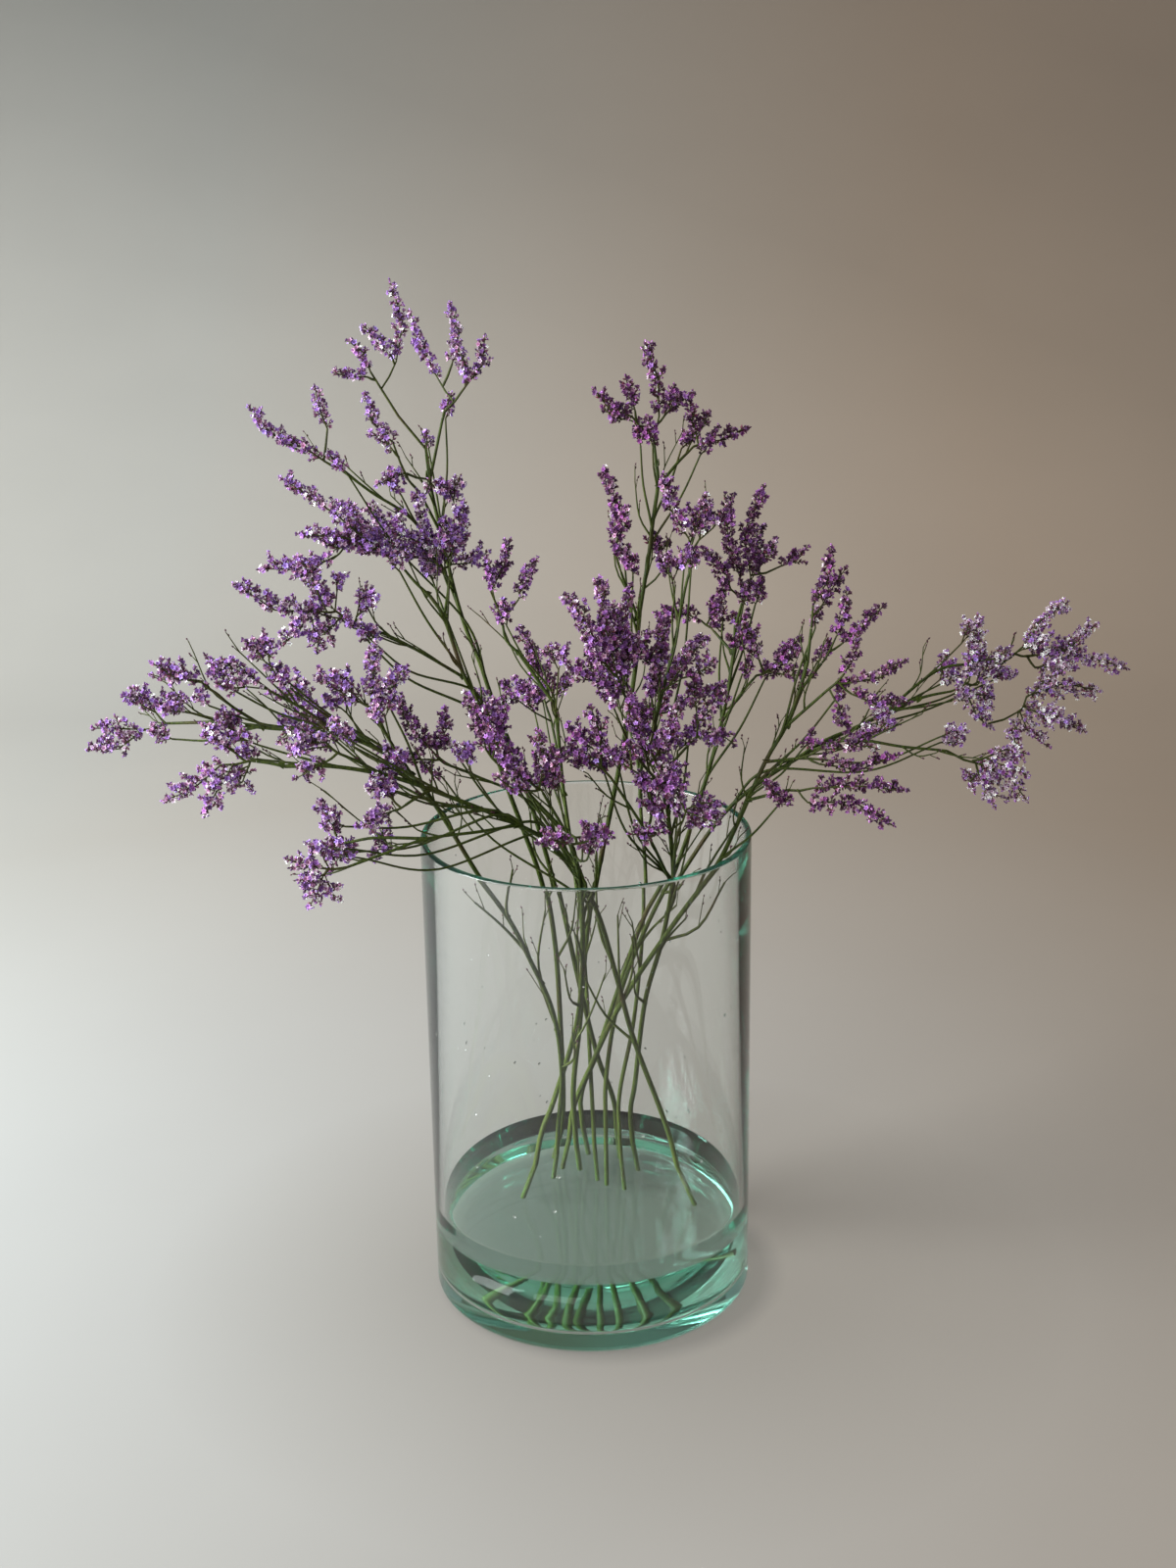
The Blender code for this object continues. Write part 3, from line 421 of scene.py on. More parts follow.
def stalk_line(stem: Stem, step: float) -> tuple[list[Vector], list[float]]:
    """Works out a stalk's centre line and how thick it is.

    Args:
        stem: The stem that the stalk carries.
        step: About how far apart the line's points lie.

    Returns:
        The line's points, and the radius at each of them.
    """
    way = smooth_way([point(p) for p in stem.stalk], step, straight_start=True)
    run = [0.0]
    for a, b in pairwise(way):
        run.append(run[-1] + (b - a).length)
    return way, [between(stem.thick * MM, STALK_TOP_RADIUS, (r / run[-1]) ** STALK_TAPER) for r in run]


def twig_lines(stem: Stem, stalk_step: float, twig_step: float) -> list[list[Vector]]:
    """Works out the centre lines of a stem's twigs.

    Args:
        stem: The stem.
        stalk_step: The step of the stalk's line, which the twigs start on.
        twig_step: About how far apart a twig's points lie.

    Returns:
        Each twig's line, from inside what it grows from to its end.
    """
    stalk, _ = stalk_line(stem, stalk_step)
    lines = []
    for twig in stem.twigs:
        points = [point(p) for p in twig.way]
        points[0] = nearest_on([stalk] + lines, points[0])
        lines.append(smooth_way(points, twig_step))
    return lines


class Room:
    """Keeps the space that grown pieces fill, as balls along their axes."""

    def __init__(self) -> None:
        """Starts with no space filled."""
        self.centres = np.zeros((0, 3))
        self.radii = np.zeros(0)
        self.owners = np.zeros(0, dtype=int)

    @staticmethod
    def balls(a: Vector, b: Vector, radius_a: float, radius_b: float) -> tuple[np.ndarray, np.ndarray]:
        """Lays balls along one tapered stretch.

        Args:
            a: Where the stretch starts.
            b: Where it ends.
            radius_a: Its radius at a.
            radius_b: Its radius at b.

        Returns:
            The balls' centres and their radii.
        """
        count = max(2, int((b - a).length / SAMPLE) + 2)
        share = np.linspace(0.0, 1.0, count)
        centres = np.outer(1 - share, a) + np.outer(share, b)
        return centres, (1 - share) * radius_a + share * radius_b

    def fill(self, owner: int, a: Vector, b: Vector, radius_a: float, radius_b: float) -> None:
        """Marks one tapered stretch as filled by its owner, with the same values as balls."""
        centres, radii = self.balls(a, b, radius_a, radius_b)
        self.centres = np.vstack([self.centres, centres])
        self.radii = np.concatenate([self.radii, radii])
        self.owners = np.concatenate([self.owners, np.full(len(radii), owner)])

    def is_clear(self, owner: int, a: Vector, b: Vector, radius_a: float, radius_b: float,
                 joint: Vector, stem: int) -> bool:
        """Says whether a stretch keeps clear of all but its owner and, by the joint, its stem.

        Args:
            owner: The spray that the stretch belongs to.
            a: Where the stretch starts.
            b: Where it ends.
            radius_a: Its radius at a.
            radius_b: Its radius at b.
            joint: Where the spray meets its twig.
            stem: The stem that the twig belongs to.

        Returns:
            True where nothing is nearer than CLEAR.
        """
        centres, radii = self.balls(a, b, radius_a, radius_b)
        near = np.linalg.norm(self.centres - np.array(joint), axis=1) < JOINT_ZONE
        others = (self.owners != owner) & ~(near & (self.owners == stem))
        apart = np.linalg.norm(centres[:, None, :] - self.centres[None, others, :], axis=2)
        return bool((apart - radii[:, None] - self.radii[None, others] > CLEAR).all())


@dataclass
class Shoot:
    """A spray as it has grown: its name, stem, start and fork, and its heads' ways.

    A head's way goes from where it leaves the twig before it to its core's foot and tip.
    """
    name: str
    stem: Stem
    start: Vector
    fork: Vector
    ways: list = field(default_factory=list)


def bends() -> Iterator[Vector]:
    """Yields the small shifts that a head tries, nearest first, to keep clear of others."""
    yield Vector((0.0, 0.0, 0.0))
    for ring in range(1, BEND_RINGS + 1):
        reach = ring * BEND_STEP
        for k in range(BEND_TURNS):
            angle = math.tau * k / BEND_TURNS
            yield Vector((BEND_ASIDE * reach * math.cos(angle), reach * math.sin(angle), 0.0))
            yield Vector((0.0, reach * math.sin(angle), BEND_UP * reach * math.cos(angle)))


def grow_shoot(twig: Twig, stem: Stem, owner: int, stem_owner: int, line: Way, room: Room) -> Shoot:
    """Grows one spray at the end of a twig, with each head bent clear of what is there.

    Args:
        twig: The twig and its spray's heads.
        stem: Its stem.
        owner: The spray's number in the room.
        stem_owner: Its stem's number in the room.
        line: The twig's centre line.
        room: The space filled so far, which the spray adds to.

    Returns:
        The spray's axes.
    """
    end = line[-1]
    ahead = (end - line[-2]).normalized()
    start = end + ahead * GAP
    shoot = Shoot(twig.spray, stem, start, start + ahead * NECK_LENGTH)
    room.fill(owner, start, shoot.fork, TWIG_END_RADIUS, TWIG_END_RADIUS)
    for head in twig.heads:
        for shift in bends():
            a, b = point(head.base) + shift * BEND_AT_BASE, point(head.tip) + shift
            root = shoot.fork
            if shoot.ways:
                root = nearest_on(shoot.ways, a - (b - a).normalized() * LINK_RAKE)
            if (room.is_clear(owner, root, a, LINK_RADIUS, LINK_RADIUS, end, stem_owner)
                    and room.is_clear(owner, a, b, CORE_RADIUS, CORE_TIP_RADIUS, end, stem_owner)):
                break
        shoot.ways.append((root, a, b))
        room.fill(owner, root, a, LINK_RADIUS, LINK_RADIUS)
        room.fill(owner, a, b, CORE_RADIUS, CORE_TIP_RADIUS)
    return shoot


def grow_shoots() -> list[Shoot]:
    """Returns every spray's axes, grown in the table's order as in the solids."""
    room = Room()
    for owner, stem in enumerate(STEMS):
        way, radii = stalk_line(stem, STALK_STEP)
        for (a, b), (radius_a, radius_b) in zip(pairwise(way), pairwise(radii)):
            room.fill(owner, a, b, radius_a, radius_b)
        for line in twig_lines(stem, STALK_STEP, TWIG_STEP):
            for a, b in pairwise(line):
                room.fill(owner, a, b, TWIG_RADIUS, TWIG_RADIUS)
    shoots = []
    for stem_owner, stem in enumerate(STEMS):
        for twig, line in zip(stem.twigs, twig_lines(stem, STALK_STEP, TWIG_STEP)):
            owner = len(STEMS) + len(shoots)
            shoots.append(grow_shoot(twig, stem, owner, stem_owner, line, room))
    return shoots


class Nodes:
    """A node tree, with short calls that add and fill its nodes."""

    def __init__(self, tree: bpy.types.NodeTree) -> None:
        """Takes the tree that the nodes go into."""
        self.tree = tree

    def fill(self, node: bpy.types.Node, inputs: dict) -> None:
        """Fills a node's inputs, each by its name or number, with a socket to link or a value."""
        for name, value in inputs.items():
            if isinstance(value, Socket):
                self.tree.links.new(value, node.inputs[name])
            else:
                node.inputs[name].default_value = value

    def node(self, kind: str, inputs: dict | None = None, **values: object) -> bpy.types.Node:
        """Adds a node.

        Args:
            kind: The node's type.
            inputs: What its inputs get, as in fill.
            values: The node's own properties.

        Returns:
            The node.
        """
        made = self.tree.nodes.new(kind)
        for name, value in values.items():
            setattr(made, name, value)
        self.fill(made, inputs or {})
        return made


class Shader(Nodes):
    """A Principled material and its node tree."""

    def __init__(self, name: str) -> None:
        """Starts the material."""
        self.material = bpy.data.materials.new(name)
        self.material.use_nodes = True
        super().__init__(self.material.node_tree)

    def dress(self, **inputs: object) -> bpy.types.Material:
        """Fills the surface's inputs, with _ for a space in a name, and returns the material."""
        named = {name.replace("_", " "): value for name, value in inputs.items()}
        self.fill(self.tree.nodes["Principled BSDF"], named)
        return self.material

    def attribute(self, name: str) -> Socket:
        """Returns a named attribute's value."""
        return self.node("ShaderNodeAttribute", attribute_name=name).outputs["Fac"]

    def place(self, scale: Triple = (1.0, 1.0, 1.0)) -> Socket:
        """Returns Object coordinates stretched by a scale."""
        place = self.node("ShaderNodeTexCoord").outputs["Object"]
        return self.node("ShaderNodeMapping", {"Vector": place, "Scale": scale}).outputs["Vector"]

    def axis(self, name: str) -> Socket:
        """Returns the X, Y or Z of the Object coordinates."""
        return self.node("ShaderNodeSeparateXYZ", {"Vector": self.place()}).outputs[name]

    def against(self, vector: Triple, operation: str) -> Socket:
        """Returns the DISTANCE or DOT_PRODUCT of the Object coordinates and a vector."""
        inputs = {0: self.place(), 1: vector}
        return self.node("ShaderNodeVectorMath", inputs, operation=operation).outputs["Value"]

    def noise(self, scale: Triple, detail: float = 2.0) -> Socket:
        """Returns noise whose scale along each axis is in waves a metre."""
        inputs = {"Vector": self.place(scale), "Scale": 1.0, "Detail": detail}
        return self.node("ShaderNodeTexNoise", inputs).outputs["Fac"]

    def stretch(self, value: Socket, span: Pair, to: Pair = (0.0, 1.0)) -> Socket:
        """Returns a value mapped from one span to another, held at the ends."""
        names = ("Value", "From Min", "From Max", "To Min", "To Max")
        inputs = dict(zip(names, (value, *span, *to)))
        return self.node("ShaderNodeMapRange", inputs).outputs["Result"]

    def ramp(self, value: Socket, stops: Sequence[tuple[float, Triple]]) -> Socket:
        """Turns a value into a colour.

        Args:
            value: The value, from 0 to 1.
            stops: Positions in that range, each with a linear colour.

        Returns:
            The colour.
        """
        ramp = self.node("ShaderNodeValToRGB", {"Fac": value})
        elements = ramp.color_ramp.elements
        while len(elements) < len(stops):
            elements.new(1.0)
        for element, (position, colour) in zip(elements, stops):
            element.position = position
            element.color = (*colour, 1.0)
        return ramp.outputs["Color"]

    def greys(self, value: Socket, stops: Sequence[Pair]) -> Socket:
        """Returns a grey from a value, by stops of a position and a brightness."""
        return self.ramp(value, [(position, (grey, grey, grey)) for position, grey in stops])

    def mix(self, share: Socket | float, a: Socket | Triple, b: Socket | Triple,
            blend: str = "MIX") -> Socket:
        """Mixes two colours.

        Args:
            share: How much of b goes in.
            a: A socket or a linear colour.
            b: Another.
            blend: MIX, or MULTIPLY for their product.

        Returns:
            The mixed colour.
        """
        a, b = (side if isinstance(side, Socket) else (*side, 1.0) for side in (a, b))
        inputs = {0: share, 6: a, 7: b}
        return self.node("ShaderNodeMix", inputs, data_type="RGBA", blend_type=blend).outputs[2]

    def bump(self, height: Socket, strength: float, distance: float) -> Socket:
        """Returns the normal of bumps from a height."""
        inputs = {"Height": height, "Strength": strength, "Distance": distance}
        return self.node("ShaderNodeBump", inputs).outputs["Normal"]


@dataclass(frozen=True)
class ClearFinish:
    """A clear body such as glass or water, tinted by its own depth, with faint waves."""
    name: str
    ior: float
    tint: Triple
    density: float
    waves: Triple
    wave_height: float

    def build(self) -> bpy.types.Material:
        """Returns the material."""
        shader = Shader(self.name)
        depth = shader.node("ShaderNodeVolumeAbsorption", {
            "Color": (*self.tint, 1.0), "Density": self.density})
        shader.fill(shader.tree.nodes["Material Output"], {"Volume": depth.outputs["Volume"]})
        return shader.dress(Base_Color=(1.0, 1.0, 1.0, 1.0), Roughness=0.0, IOR=self.ior,
                            Transmission_Weight=1.0,
                            Normal=shader.bump(shader.noise(self.waves, detail=1.0), 1.0, self.wave_height))


@dataclass(frozen=True)
class StemFinish:
    """Green stem skin: lengthwise streaks, brown patches, and yellow-green toward the cut foot."""
    name: str = "stem_skin"
    dark: Triple = (0.016, 0.032, 0.003)
    light: Triple = (0.082, 0.118, 0.012)
    foot: Triple = (0.200, 0.290, 0.040)
    brown: Triple = (0.080, 0.040, 0.018)
    streaks: Triple = (700.0, 700.0, 45.0)
    streak_span: Pair = (0.30, 0.72)
    patches: Triple = (38.0, 38.0, 30.0)
    patch_span: Pair = (0.56, 0.78)
    patch_share: float = 0.75
    foot_height: float = 0.260
    foot_share: float = 0.40
    grain_span: Pair = (0.3, 0.7)
    roughness: Pair = (0.46, 0.66)
    specular: float = 0.3
    bump: Pair = (0.5, 0.0003)

    def build(self) -> bpy.types.Material:
        """Returns the material."""
        shader = Shader(self.name)
        streak = shader.noise(self.streaks, detail=3.0)
        skin = shader.ramp(streak, tuple(zip(self.streak_span, (self.dark, self.light))))
        low = shader.stretch(shader.axis("Z"), (self.foot_height, 0.0), (0.0, self.foot_share))
        patch = shader.stretch(shader.noise(self.patches), self.patch_span, (0.0, self.patch_share))
        worn = shader.attribute("brown")
        for share, colour in ((low, self.foot), (patch, self.brown), (worn, self.brown)):
            skin = shader.mix(share, skin, colour)
        rough = shader.stretch(streak, self.grain_span, self.roughness)
        return shader.dress(Base_Color=skin, Roughness=rough, Specular_IOR_Level=self.specular,
                            Normal=shader.bump(streak, *self.bump))


@dataclass(frozen=True)
class FloretFinish:
    """Papery florets: brown-green feet, mauve calyxes with pale rims, and violet petals.

    The zone attribute runs from 0 at a calyx's foot to 1 at its rim, and from 2 in a corolla's
    throat to 3 at its petals' tips. Tint varies between florets, redness turns violet to wine,
    and frost whitens the rims.
    """
    name: str = "floret_skin"
    foot: Triple = (0.075, 0.060, 0.016)
    tube: Triple = (0.165, 0.022, 0.062)
    tube_violet: Triple = (0.210, 0.065, 0.165)
    rim: Triple = (0.580, 0.300, 0.500)
    frost: Triple = (0.920, 0.860, 0.920)
    throat: Triple = (0.110, 0.016, 0.160)
    petal_violet: Triple = (0.410, 0.255, 0.720)
    petal_wine: Triple = (0.380, 0.090, 0.320)
    tube_span: Pair = (0.05, 0.45)
    rim_span: Pair = (0.55, 0.95)
    corolla_span: Pair = (1.4, 1.6)
    petal_span: Pair = (2.0, 2.7)
    tints: tuple = ((0.0, (0.20, 0.13, 0.17)), (0.35, (0.52, 0.42, 0.50)), (0.80, (1.25, 1.20, 1.28)),
                    (1.0, (2.10, 2.60, 2.20)))
    speckle: Triple = (900.0, 900.0, 900.0)
    grain_span: Pair = (0.3, 0.7)
    roughness: Pair = (0.38, 0.70)
    specular: float = 0.4
    sheen: Pair = (0.05, 0.4)
    bump: Pair = (0.4, 0.0002)

    def build(self) -> bpy.types.Material:
        """Returns the material."""
        shader = Shader(self.name)
        zone, redness = shader.attribute("zone"), shader.attribute("redness")
        rim = shader.mix(shader.attribute("frost"), self.rim, self.frost)
        tube = shader.mix(redness, self.tube_violet, self.tube)
        petal = shader.mix(redness, self.petal_violet, self.petal_wine)
        corolla = shader.mix(shader.stretch(zone, self.petal_span), self.throat, petal)
        skin = self.foot
        for span, colour in ((self.tube_span, tube), (self.rim_span, rim), (self.corolla_span, corolla)):
            skin = shader.mix(shader.stretch(zone, span), skin, colour)
        skin = shader.mix(1.0, skin, shader.ramp(shader.attribute("tint"), self.tints), "MULTIPLY")
        grain = shader.noise(self.speckle)
        rough = shader.stretch(grain, self.grain_span, self.roughness)
        return shader.dress(Base_Color=skin, Roughness=rough, Specular_IOR_Level=self.specular,
                            Sheen_Weight=self.sheen[0], Sheen_Roughness=self.sheen[1],
                            Normal=shader.bump(grain, *self.bump))


@dataclass(frozen=True)
class FloorFinish:
    """Plain pale matt floor, cooler at the left and warmer at the right, with painted shade that darkens it
    up its sweep.

    The clear pieces cast no shadow, so a painted shadow darkens the floor under the vase, and a painted pool
    of light brightens a ring around it.
    """
    name: str = "pale_floor"
    cool: Triple = (0.758, 0.750, 0.687)
    warm: Triple = (0.866, 0.689, 0.529)
    spread: float = 0.6
    # Painted shade: the floor darkens along this slope, up the sweep, toward the right and toward the front.
    painted_falloff_slope: Triple = (0.30, -0.22, 1.0)
    painted_falloff_span: Pair = (-0.547, 0.46)
    painted_falloff: tuple = ((0.0, 1.0), (0.2, 0.839), (0.4, 0.639), (0.6, 0.490), (0.8, 0.427), (1.0, 0.382))
    # Painted shadow under the vase, where the clear pieces cast none, and a painted pool of light, a little
    # bluer, around it.
    painted_shadow_centre: Triple = (0.012, 0.0, 0.0)
    painted_shadow_and_glow: tuple = ((0.070, (0.63, 0.68, 0.71)), (0.098, (0.69, 0.74, 0.78)), (0.112, (0.93, 0.98, 1.03)),
                     (0.30, (1.11, 1.19, 1.28)), (0.44, (1.10, 1.17, 1.25)), (1.0, (1.0, 1.0, 1.0)))
    clouds: Triple = (1.7, 1.7, 2.6)
    cloud_dims: tuple = ((0.3, 0.94), (0.7, 1.0))
    roughness: float = 0.85
    specular: float = 0.2

    def build(self) -> bpy.types.Material:
        """Returns the material."""
        shader = Shader(self.name)
        across = shader.stretch(shader.axis("X"), (-self.spread, self.spread))
        # Painted shade that darkens the floor up its sweep, toward the right and toward the front
        falloff = shader.stretch(shader.against(self.painted_falloff_slope, "DOT_PRODUCT"), self.painted_falloff_span)
        # Distance from the vase, for the painted shadow under it and the painted pool of light around it
        away = shader.against(self.painted_shadow_centre, "DISTANCE")
        colour = shader.mix(across, self.cool, self.warm)
        for layer in (shader.greys(falloff, self.painted_falloff), shader.ramp(away, self.painted_shadow_and_glow),
                      shader.greys(shader.noise(self.clouds, detail=4.0), self.cloud_dims)):
            colour = shader.mix(1.0, colour, layer, "MULTIPLY")
        return shader.dress(Base_Color=colour, Roughness=self.roughness, Specular_IOR_Level=self.specular)


class Tree(Nodes):
    """A Geometry Nodes tree with named inputs, whose result is taken as a plain mesh."""

    def __init__(self, name: str, **inputs: str) -> None:
        """Starts a tree that takes and gives geometry.

        Args:
            name: The tree's name.
            inputs: The kind of each further input, by its name.
        """
        super().__init__(bpy.data.node_groups.new(name, "GeometryNodeTree"))
        self.sockets: dict[str, str] = {}
        for key, kind in {"Geometry": "Geometry", **inputs}.items():
            made = self.tree.interface.new_socket(key, in_out="INPUT", socket_type="NodeSocket" + kind)
            self.sockets[key] = made.identifier
        self.tree.interface.new_socket("Geometry", in_out="OUTPUT", socket_type="NodeSocketGeometry")
        self.given = self.node("NodeGroupInput").outputs

    def named(self, name: str, kind: str = "FLOAT") -> Socket:
        """Returns a named attribute."""
        return self.node("GeometryNodeInputNamedAttribute", {"Name": name}, data_type=kind).outputs[0]

    def reckon(self, operation: str, a: Socket | float, b: Socket | float) -> Socket:
        """Returns the result of a sum on two numbers."""
        return self.node("ShaderNodeMath", {0: a, 1: b}, operation=operation).outputs[0]

    def end(self, geometry: Socket) -> "Tree":
        """Ends the tree in real geometry with its Material.

        Args:
            geometry: What the tree has made.

        Returns:
            The tree.
        """
        real = self.node("GeometryNodeRealizeInstances", {"Geometry": geometry}).outputs[0]
        dressed = self.node("GeometryNodeSetMaterial", {"Geometry": real, "Material": self.given["Material"]})
        self.node("NodeGroupOutput", {0: dressed.outputs[0]})
        return self

    def run(self, name: str, mesh: bpy.types.Mesh, **values: object) -> Piece:
        """Runs the tree on a mesh.

        Args:
            name: The name of the object to make.
            mesh: The mesh to start from, which is removed.
            values: The tree's inputs.

        Returns:
            A new object at the origin that holds the result as a plain mesh.
        """
        start = bpy.data.objects.new(name + "_start", mesh)
        bpy.context.scene.collection.objects.link(start)
        modifier = start.modifiers.new("nodes", "NODES")
        modifier.node_group = self.tree
        for key, value in values.items():
            modifier[self.sockets[key]] = value
        shape = start.evaluated_get(bpy.context.evaluated_depsgraph_get())
        made = bpy.data.meshes.new_from_object(shape)
        bpy.data.objects.remove(start, do_unlink=True)
        bpy.data.meshes.remove(mesh)
        return show(name, made)


def tube_tree() -> Tree:
    """Returns the tree that turns lines into closed tubes, round or ribbed.

    The lines' points carry the tube's radius as thick.
    """
    tree = Tree("tubes", Sides="Int", Groove="Float", Material="Material")
    curve = tree.node("GeometryNodeMeshToCurve", {"Mesh": tree.given["Geometry"]})
    circle = tree.node("GeometryNodeCurvePrimitiveCircle", {
        "Resolution": tree.given["Sides"], "Radius": 1.0})
    odd = tree.reckon("MODULO", tree.node("GeometryNodeInputIndex").outputs[0], 2.0)
    keep = tree.reckon("SUBTRACT", 1.0, tree.reckon("MULTIPLY", odd, tree.given["Groove"]))
    place = tree.node("GeometryNodeInputPosition").outputs[0]
    ribbed = tree.node("ShaderNodeVectorMath", {0: place, "Scale": keep}, operation="SCALE")
    profile = tree.node("GeometryNodeSetPosition", {"Geometry": circle.outputs["Curve"],
                                                    "Position": ribbed.outputs["Vector"]})
    tube = tree.node("GeometryNodeCurveToMesh", {
        "Curve": curve.outputs[0], "Profile Curve": profile.outputs[0], "Scale": tree.named("thick"),
        "Fill Caps": True})
    return tree.end(tube.outputs[0])


def scatter_tree() -> Tree:
    """Returns the tree that sets small forms on points.

    The points carry which form as form, where it faces as facing, and how large it is as size.
    """
    tree = Tree("scatter", Forms="Collection", Scale="Float", Seed="Int", Material="Material")
    forms = tree.node("GeometryNodeCollectionInfo", {
        "Collection": tree.given["Forms"], "Separate Children": True, "Reset Children": True})
    spin = tree.node("FunctionNodeRandomValue", {"Seed": tree.given["Seed"]}, data_type="FLOAT")
    about = tree.node("FunctionNodeAxisAngleToRotation", {
        "Axis": UP, "Angle": tree.reckon("MULTIPLY", spin.outputs[1], math.tau)})
    face = tree.node("FunctionNodeAlignRotationToVector", {
        "Vector": tree.named("facing", "FLOAT_VECTOR")}, axis="Z")
    pose = tree.node("FunctionNodeRotateRotation", {
        "Rotation": face.outputs[0], "Rotate By": about.outputs[0]}, rotation_space="LOCAL")
    copies = tree.node("GeometryNodeInstanceOnPoints", {
        "Points": tree.given["Geometry"], "Instance": forms.outputs[0], "Pick Instance": True,
        "Instance Index": tree.named("form", "INT"), "Rotation": pose.outputs[0],
        "Scale": tree.reckon("MULTIPLY", tree.named("size"), tree.given["Scale"])})
    return tree.end(copies.outputs[0])


def show(name: str, mesh: bpy.types.Mesh) -> Piece:
    """Puts a mesh in the scene.

    Args:
        name: The name for the mesh and its object.
        mesh: The mesh, with its place in it.

    Returns:
        The object, which sits at the origin.
    """
    mesh.name = name
    piece = bpy.data.objects.new(name, mesh)
    bpy.context.scene.collection.objects.link(piece)
    return piece


def add_values(mesh: bpy.types.Mesh, name: str, values: Sequence, kind: str = "FLOAT") -> None:
    """Gives a mesh's points an attribute.

    Args:
        mesh: The mesh.
        name: The attribute's name.
        values: One value for each point.
        kind: FLOAT, INT or FLOAT_VECTOR.
    """
    made = mesh.attributes.new(name, kind, "POINT")
    numbers = np.array(values, np.int32 if kind == "INT" else np.float32)
    made.data.foreach_set("vector" if kind == "FLOAT_VECTOR" else "value", np.ravel(numbers))


class FloretForm(Enum):
    """A floret's form, by its place on the shelf."""
    OPEN = 0
    PAPERY = 1
    BUD = 2
    SHUT = 3


@dataclass
class Lines:
    """Lines to be made tubes: their points, radii and how brown each point is."""
    ways: list = field(default_factory=list)
    radii: list = field(default_factory=list)
    browns: list = field(default_factory=list)

    def add(self, way: Way, radii: Sequence[float], brown: float = 0.0) -> None:
        """Adds one line.

        Args:
            way: Its points.
            radii: The radius at each point.
            brown: How brown its skin is.
        """
        self.ways.append(way)
        self.radii.extend(radii)
        self.browns.extend([brown] * len(way))

    def taper(self, way: Way, radius: float, shares: Pair, brown: float = 0.0) -> None:
        """Adds one line whose radius goes evenly from one share of a radius to another."""
        last = len(way) - 1
        self.add(way, [radius * between(*shares, k / last) for k in range(last + 1)], brown)

    def mesh(self) -> bpy.types.Mesh:
        """Returns the lines as a mesh of edges that carries their radii and browns."""
        edges, start = [], 0
        for way in self.ways:
            edges += pairwise(range(start, start + len(way)))
            start += len(way)
        mesh = bpy.data.meshes.new("lines")
        mesh.from_pydata([spot for way in self.ways for spot in way], edges, [])
        add_values(mesh, "thick", self.radii)
        add_values(mesh, "brown", self.browns)
        return mesh


@dataclass
class Spots:
    """Places for small forms, each with what its copy needs to know."""
    places: list = field(default_factory=list)
    facings: list = field(default_factory=list)
    forms: list = field(default_factory=list)
    looks: list = field(default_factory=list)

    def add(self, place: Vector, facing: Vector, size: float, form: FloretForm = FloretForm.OPEN,
            tint: float = 0.5, redness: float = 0.5, frost: float = 0.0) -> None:
        """Adds one place.

        Args:
            place: Where the form stands.
            facing: Where its top points.
            size: How large it is.
            form: Which form of the shelf it is.
            tint: From 0 for dark to 1 for light.
            redness: From 0 for violet to 1 for wine.
            frost: From 0 to 1, how white its rim is.
        """
        self.places.append(place)
        self.facings.append(facing)
        self.forms.append(form.value)
        self.looks.append((size, tint, redness, frost))

    def mesh(self) -> bpy.types.Mesh:
        """Returns the places as a mesh of points that carries all the rest."""
        mesh = bpy.data.meshes.new("spots")
        mesh.from_pydata(self.places, [], [])
        add_values(mesh, "facing", self.facings, "FLOAT_VECTOR")
        add_values(mesh, "form", self.forms, "INT")
        for name, values in zip(("size", "tint", "redness", "frost"), zip(*self.looks)):
            add_values(mesh, name, values)
        return mesh


def claim(piece: Piece, slot: Slot, *nodes: str) -> None:
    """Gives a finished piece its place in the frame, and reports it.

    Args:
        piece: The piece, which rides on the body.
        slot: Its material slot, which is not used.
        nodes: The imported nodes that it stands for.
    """
    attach(piece, BODY)
    if nodes:
        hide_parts(*nodes)
    log.info("%s: %d faces for %s", piece.name, len(piece.data.polygons), ", ".join(nodes) or "itself")


def ring(form: Form, sides: int, radius: float, height: float, turn: float = 0.0) -> list:
    """Adds a ring of points round Z, turned by a share of a side, or one point where it has no radius."""
    angles = [math.tau * (k + turn) / sides for k in range(sides if radius else 1)]
    return [form.verts.new((radius * math.cos(a), radius * math.sin(a), height)) for a in angles]


def bridge(form: Form, low: list, high: list) -> None:
    """Adds the faces between two rings.

    Args:
        form: Where they are added.
        low: A ring's points, or one point.
        high: The next ring's points, or one point.
    """
    for k in range(max(len(low), len(high))):
        near, far = ((side[k % len(side)], side[(k + 1) % len(side)]) for side in (low, high))
        form.faces.new(dict.fromkeys((*near, *reversed(far))))


def bmesh_form(name: str, form: Form) -> bpy.types.Mesh:
    """Turns a form's normals outward and makes it a mesh.

    Args:
        name: The mesh's name.
        form: The form, which is freed.

    Returns:
        The mesh.
    """
    bmesh.ops.recalc_face_normals(form, faces=form.faces)
    mesh = bpy.data.meshes.new(name)
    form.to_mesh(mesh)
    form.free()
    return mesh


def shelf(name: str, *forms: bpy.types.Mesh) -> bpy.types.Collection:
    """Sets forms on a shelf for the scatter tree.

    Args:
        name: The shelf's name.
        forms: Their meshes, which the tree counts in the order of their names.

    Returns:
        The collection that holds them.
    """
    made = bpy.data.collections.new(name)
    for form in forms:
        made.objects.link(bpy.data.objects.new(form.name, form))
    return made


def arc(centre: Pair, radius: float, start: float, end: float, steps: int) -> list[Pair]:
    """Returns profile points round a corner, between two angles in degrees."""
    angles = [math.radians(start + (end - start) * k / steps) for k in range(steps + 1)]
    return [(centre[0] + radius * math.cos(a), centre[1] + radius * math.sin(a)) for a in angles]


